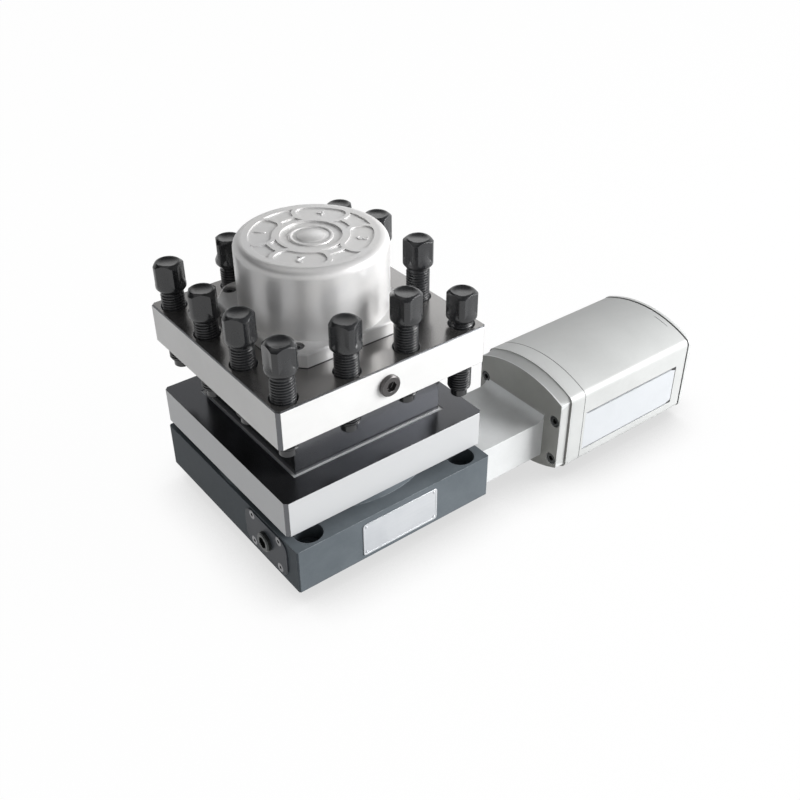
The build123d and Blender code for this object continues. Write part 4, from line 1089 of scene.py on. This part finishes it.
class SolidsDress:
    """Gives every solid of the frame its finish and soft shading."""

    sharp: float = 24.0

    def __init__(self, effects: Effects) -> None:
        """Build one material per slot of the record.

        Args:
            effects: The shared node groups.
        """
        self.materials = {slot: finish.build(effects) for slot, finish in FINISHES.items()}
        dark = DARK_SCREW.build(effects)
        self.own = {"plate_screws": dark, "worm_access_plug": dark}

    def build(self) -> None:
        """Dress each node in its slot's material."""
        slots = {row["node"]: row["material_slot"] for row in frame["record"]["subparts"]}
        for name, solid in frame["nodes"].items():
            material = self.own.get(name, self.materials[slots[name]])
            solid.data.materials.clear()
            solid.data.materials.append(material)
            for face in solid.data.polygons:
                face.material_index = 0
            solid.data.shade_smooth()
            solid.data.set_sharp_from_angle(angle=math.radians(self.sharp))
            LOG.info("solid %s dressed in %s", name, material.name)


@dataclass
class Studio:
    """Camera, floor, lights and surroundings."""

    azimuth: float = -37.53
    elevation: float = 35.40
    roll: float = -0.20
    across: float = -55.76
    upward: float = -55.13
    distance: float = 758.8
    focal_pixels: float = 1022.08
    image_width: float = 800.0
    sensor: float = 36.0
    seen_from: float = 0.01
    seen_to: float = 80.0
    floor_reach: float = 40.0
    floor_around: int = 96
    floor_glow: float = 0.98
    floor_colour: Colour = (0.9, 0.9, 0.9)
    floor_bounce: Colour = (0.38, 0.38, 0.38)
    contact_reach: float = 0.05
    contact_range: Pair = (0.35, 0.95)
    contact_shade: float = 0.7
    lit_side: Colour = (0.75, -0.66, 0.0)
    horizon: Pair = (0.05, 1.0)
    lit_range: Pair = (-0.6, 0.6)
    overhead: float = 0.25
    overhead_range: Pair = (0.4, 0.68)
    band_range: Pair = (0.1, 0.18)
    backdrop_range: Pair = (0.38, 0.48)

    def camera(self) -> None:
        """Set the camera at the photograph's angle."""
        a, e, r = (math.radians(v) for v in (self.azimuth, self.elevation, self.roll))
        back = Vector((math.sin(a) * math.cos(e), -math.cos(a) * math.cos(e), math.sin(e)))
        level = Vector((math.cos(a), math.sin(a), 0.0))
        upright = back.cross(level)
        right = math.cos(r) * level + math.sin(r) * upright
        up = -math.sin(r) * level + math.cos(r) * upright
        place = (-self.across * right - self.upward * up + self.distance * back) * MM
        data = bpy.data.cameras.new("camera")
        data.sensor_width = self.sensor
        data.lens = self.focal_pixels * self.sensor / self.image_width
        data.clip_start, data.clip_end = self.seen_from, self.seen_to
        made = put("camera", data)
        made.matrix_world = Matrix.Translation(place) @ Matrix((right, up, back)).transposed().to_4x4()
        bpy.context.scene.camera = made

    def floor(self) -> None:
        """Lay a pale floor under the object's lowest point, which keeps a faint real shadow of the object,
        with a painted contact shadow in its white glow.
        """
        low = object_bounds()[0].z
        mesh = bpy.data.meshes.new("floor")
        rim = [(x, y, low) for x, y in circle(self.floor_reach, self.floor_around)]
        mesh.from_pydata(rim, [], [tuple(range(self.floor_around))])
        made = put("floor", mesh)
        made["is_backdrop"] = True
        material = bpy.data.materials.new("Pale floor")
        material.use_nodes = True
        graph = Graph(material.node_tree)
        seen = graph.seen()
        pale = graph.mix(seen, rgba(self.floor_bounce), rgba(self.floor_colour))
        matt = graph.node("ShaderNodeBsdfPrincipled", {"Base Color": pale, "Roughness": 0.8})
        # Painted shadow: ambient occlusion darkens the white glow near the object, down to contact_shade.
        near = graph.node("ShaderNodeAmbientOcclusion", {"Distance": self.contact_reach}, samples=8)
        open_sky = graph.remap(near.outputs["AO"], *self.contact_range, self.contact_shade, 1.0)
        shade = graph.mix(open_sky, rgba((0.0, 0.0, 0.0)), rgba((1.0, 1.0, 1.0)))
        white = graph.node("ShaderNodeEmission", {"Color": shade, "Strength": 1.0})
        both = graph.node("ShaderNodeMixShader", {0: graph.math("MULTIPLY", seen, self.floor_glow),
                                                  1: matt.outputs[0], 2: white.outputs[0]})
        graph.node("ShaderNodeOutputMaterial", {"Surface": both.outputs[0]})
        mesh.materials.append(material)

    def world(self) -> None:
        """Fill the surroundings: white at the horizon, pale on the lit side, and darker overhead."""
        world = bpy.data.worlds.new("studio")
        bpy.context.scene.world = world
        world.use_nodes = True
        graph = Graph(world.node_tree)
        towards = graph.node("ShaderNodeTexCoord").outputs["Generated"]
        level = graph.math("ABSOLUTE", graph.node("ShaderNodeSeparateXYZ", {0: towards}).outputs[2])
        lit = graph.node("ShaderNodeVectorMath", {0: towards, 1: self.lit_side}, operation="DOT_PRODUCT")
        side = graph.remap(lit.outputs["Value"], *self.lit_range, *self.horizon)
        drop = graph.remap(level, *self.overhead_range, 1.0, self.overhead)
        band = graph.remap(level, *self.band_range, 1.0, 0.0)
        around = graph.math("MAXIMUM", band, graph.math("MULTIPLY", side, drop))
        backdrop = graph.math("MULTIPLY", graph.seen(), graph.remap(level, *self.backdrop_range, 1.0, 0.0))
        strength = graph.math("MAXIMUM", around, backdrop)
        light = graph.node("ShaderNodeBackground", {"Color": (1.0, 1.0, 1.0, 1.0), "Strength": strength})
        graph.node("ShaderNodeOutputWorld", {"Surface": light.outputs[0]})

    def lamp(self, name: str, place: Colour, target: Colour, size: Pair, power: float) -> None:
        """Hang one soft lamp.

        Args:
            name: The lamp's name.
            place: Where it hangs, in metres.
            target: What it points at.
            size: The width and height of its face.
            power: Its power in watts.
        """
        data = bpy.data.lights.new(name, "AREA")
        data.shape = "RECTANGLE"
        data.size, data.size_y = size
        data.energy = power
        made = put(name, data)
        made.location = place
        made.rotation_mode = "QUATERNION"
        made.rotation_quaternion = (Vector(target) - Vector(place)).to_track_quat("-Z", "Y")

    def build(self) -> None:
        """Set up the whole studio."""
        self.camera()
        self.floor()
        self.world()
        self.lamp("key", (1.45, -1.2, 0.74), (0.0, 0.0, 0.08), (1.2, 1.2), 62.0)
        self.lamp("back", (0.9, 0.99, 0.82), (0.0, 0.0, 0.1), (0.52, 0.42), 0.65)
        self.lamp("far back", (0.36, 1.26, 0.92), (0.0, 0.0, 0.1), (0.5, 0.45), 0.25)
        self.lamp("top", (-0.5, 0.3, 1.7), (0.0, 0.0, 0.1), (1.2, 1.2), 2.6)
        bpy.context.scene.view_settings.view_transform = "Standard"
        LOG.info("studio ready")


def main() -> None:
    """Build every sub-assembly in order."""
    logging.basicConfig(level=logging.INFO, format="%(name)s: %(message)s")
    effects = Effects()
    dress = SolidsDress(effects)
    dress.build()
    ClampBolts(dress.materials["blackened_steel"]).build()
    Dial(dress.materials["cap_metal"]).build()
    LabelPlate(PLATE_METAL.build(effects)).build()
    PinSprings().build()
    MotorTrim(dress.materials["seal_rubber"], dress.materials["motor_alloy"],
              STRIP_EDGE_SHADE.build(effects)).build()
    Studio().build()


if __name__ == "__main__":
    main()
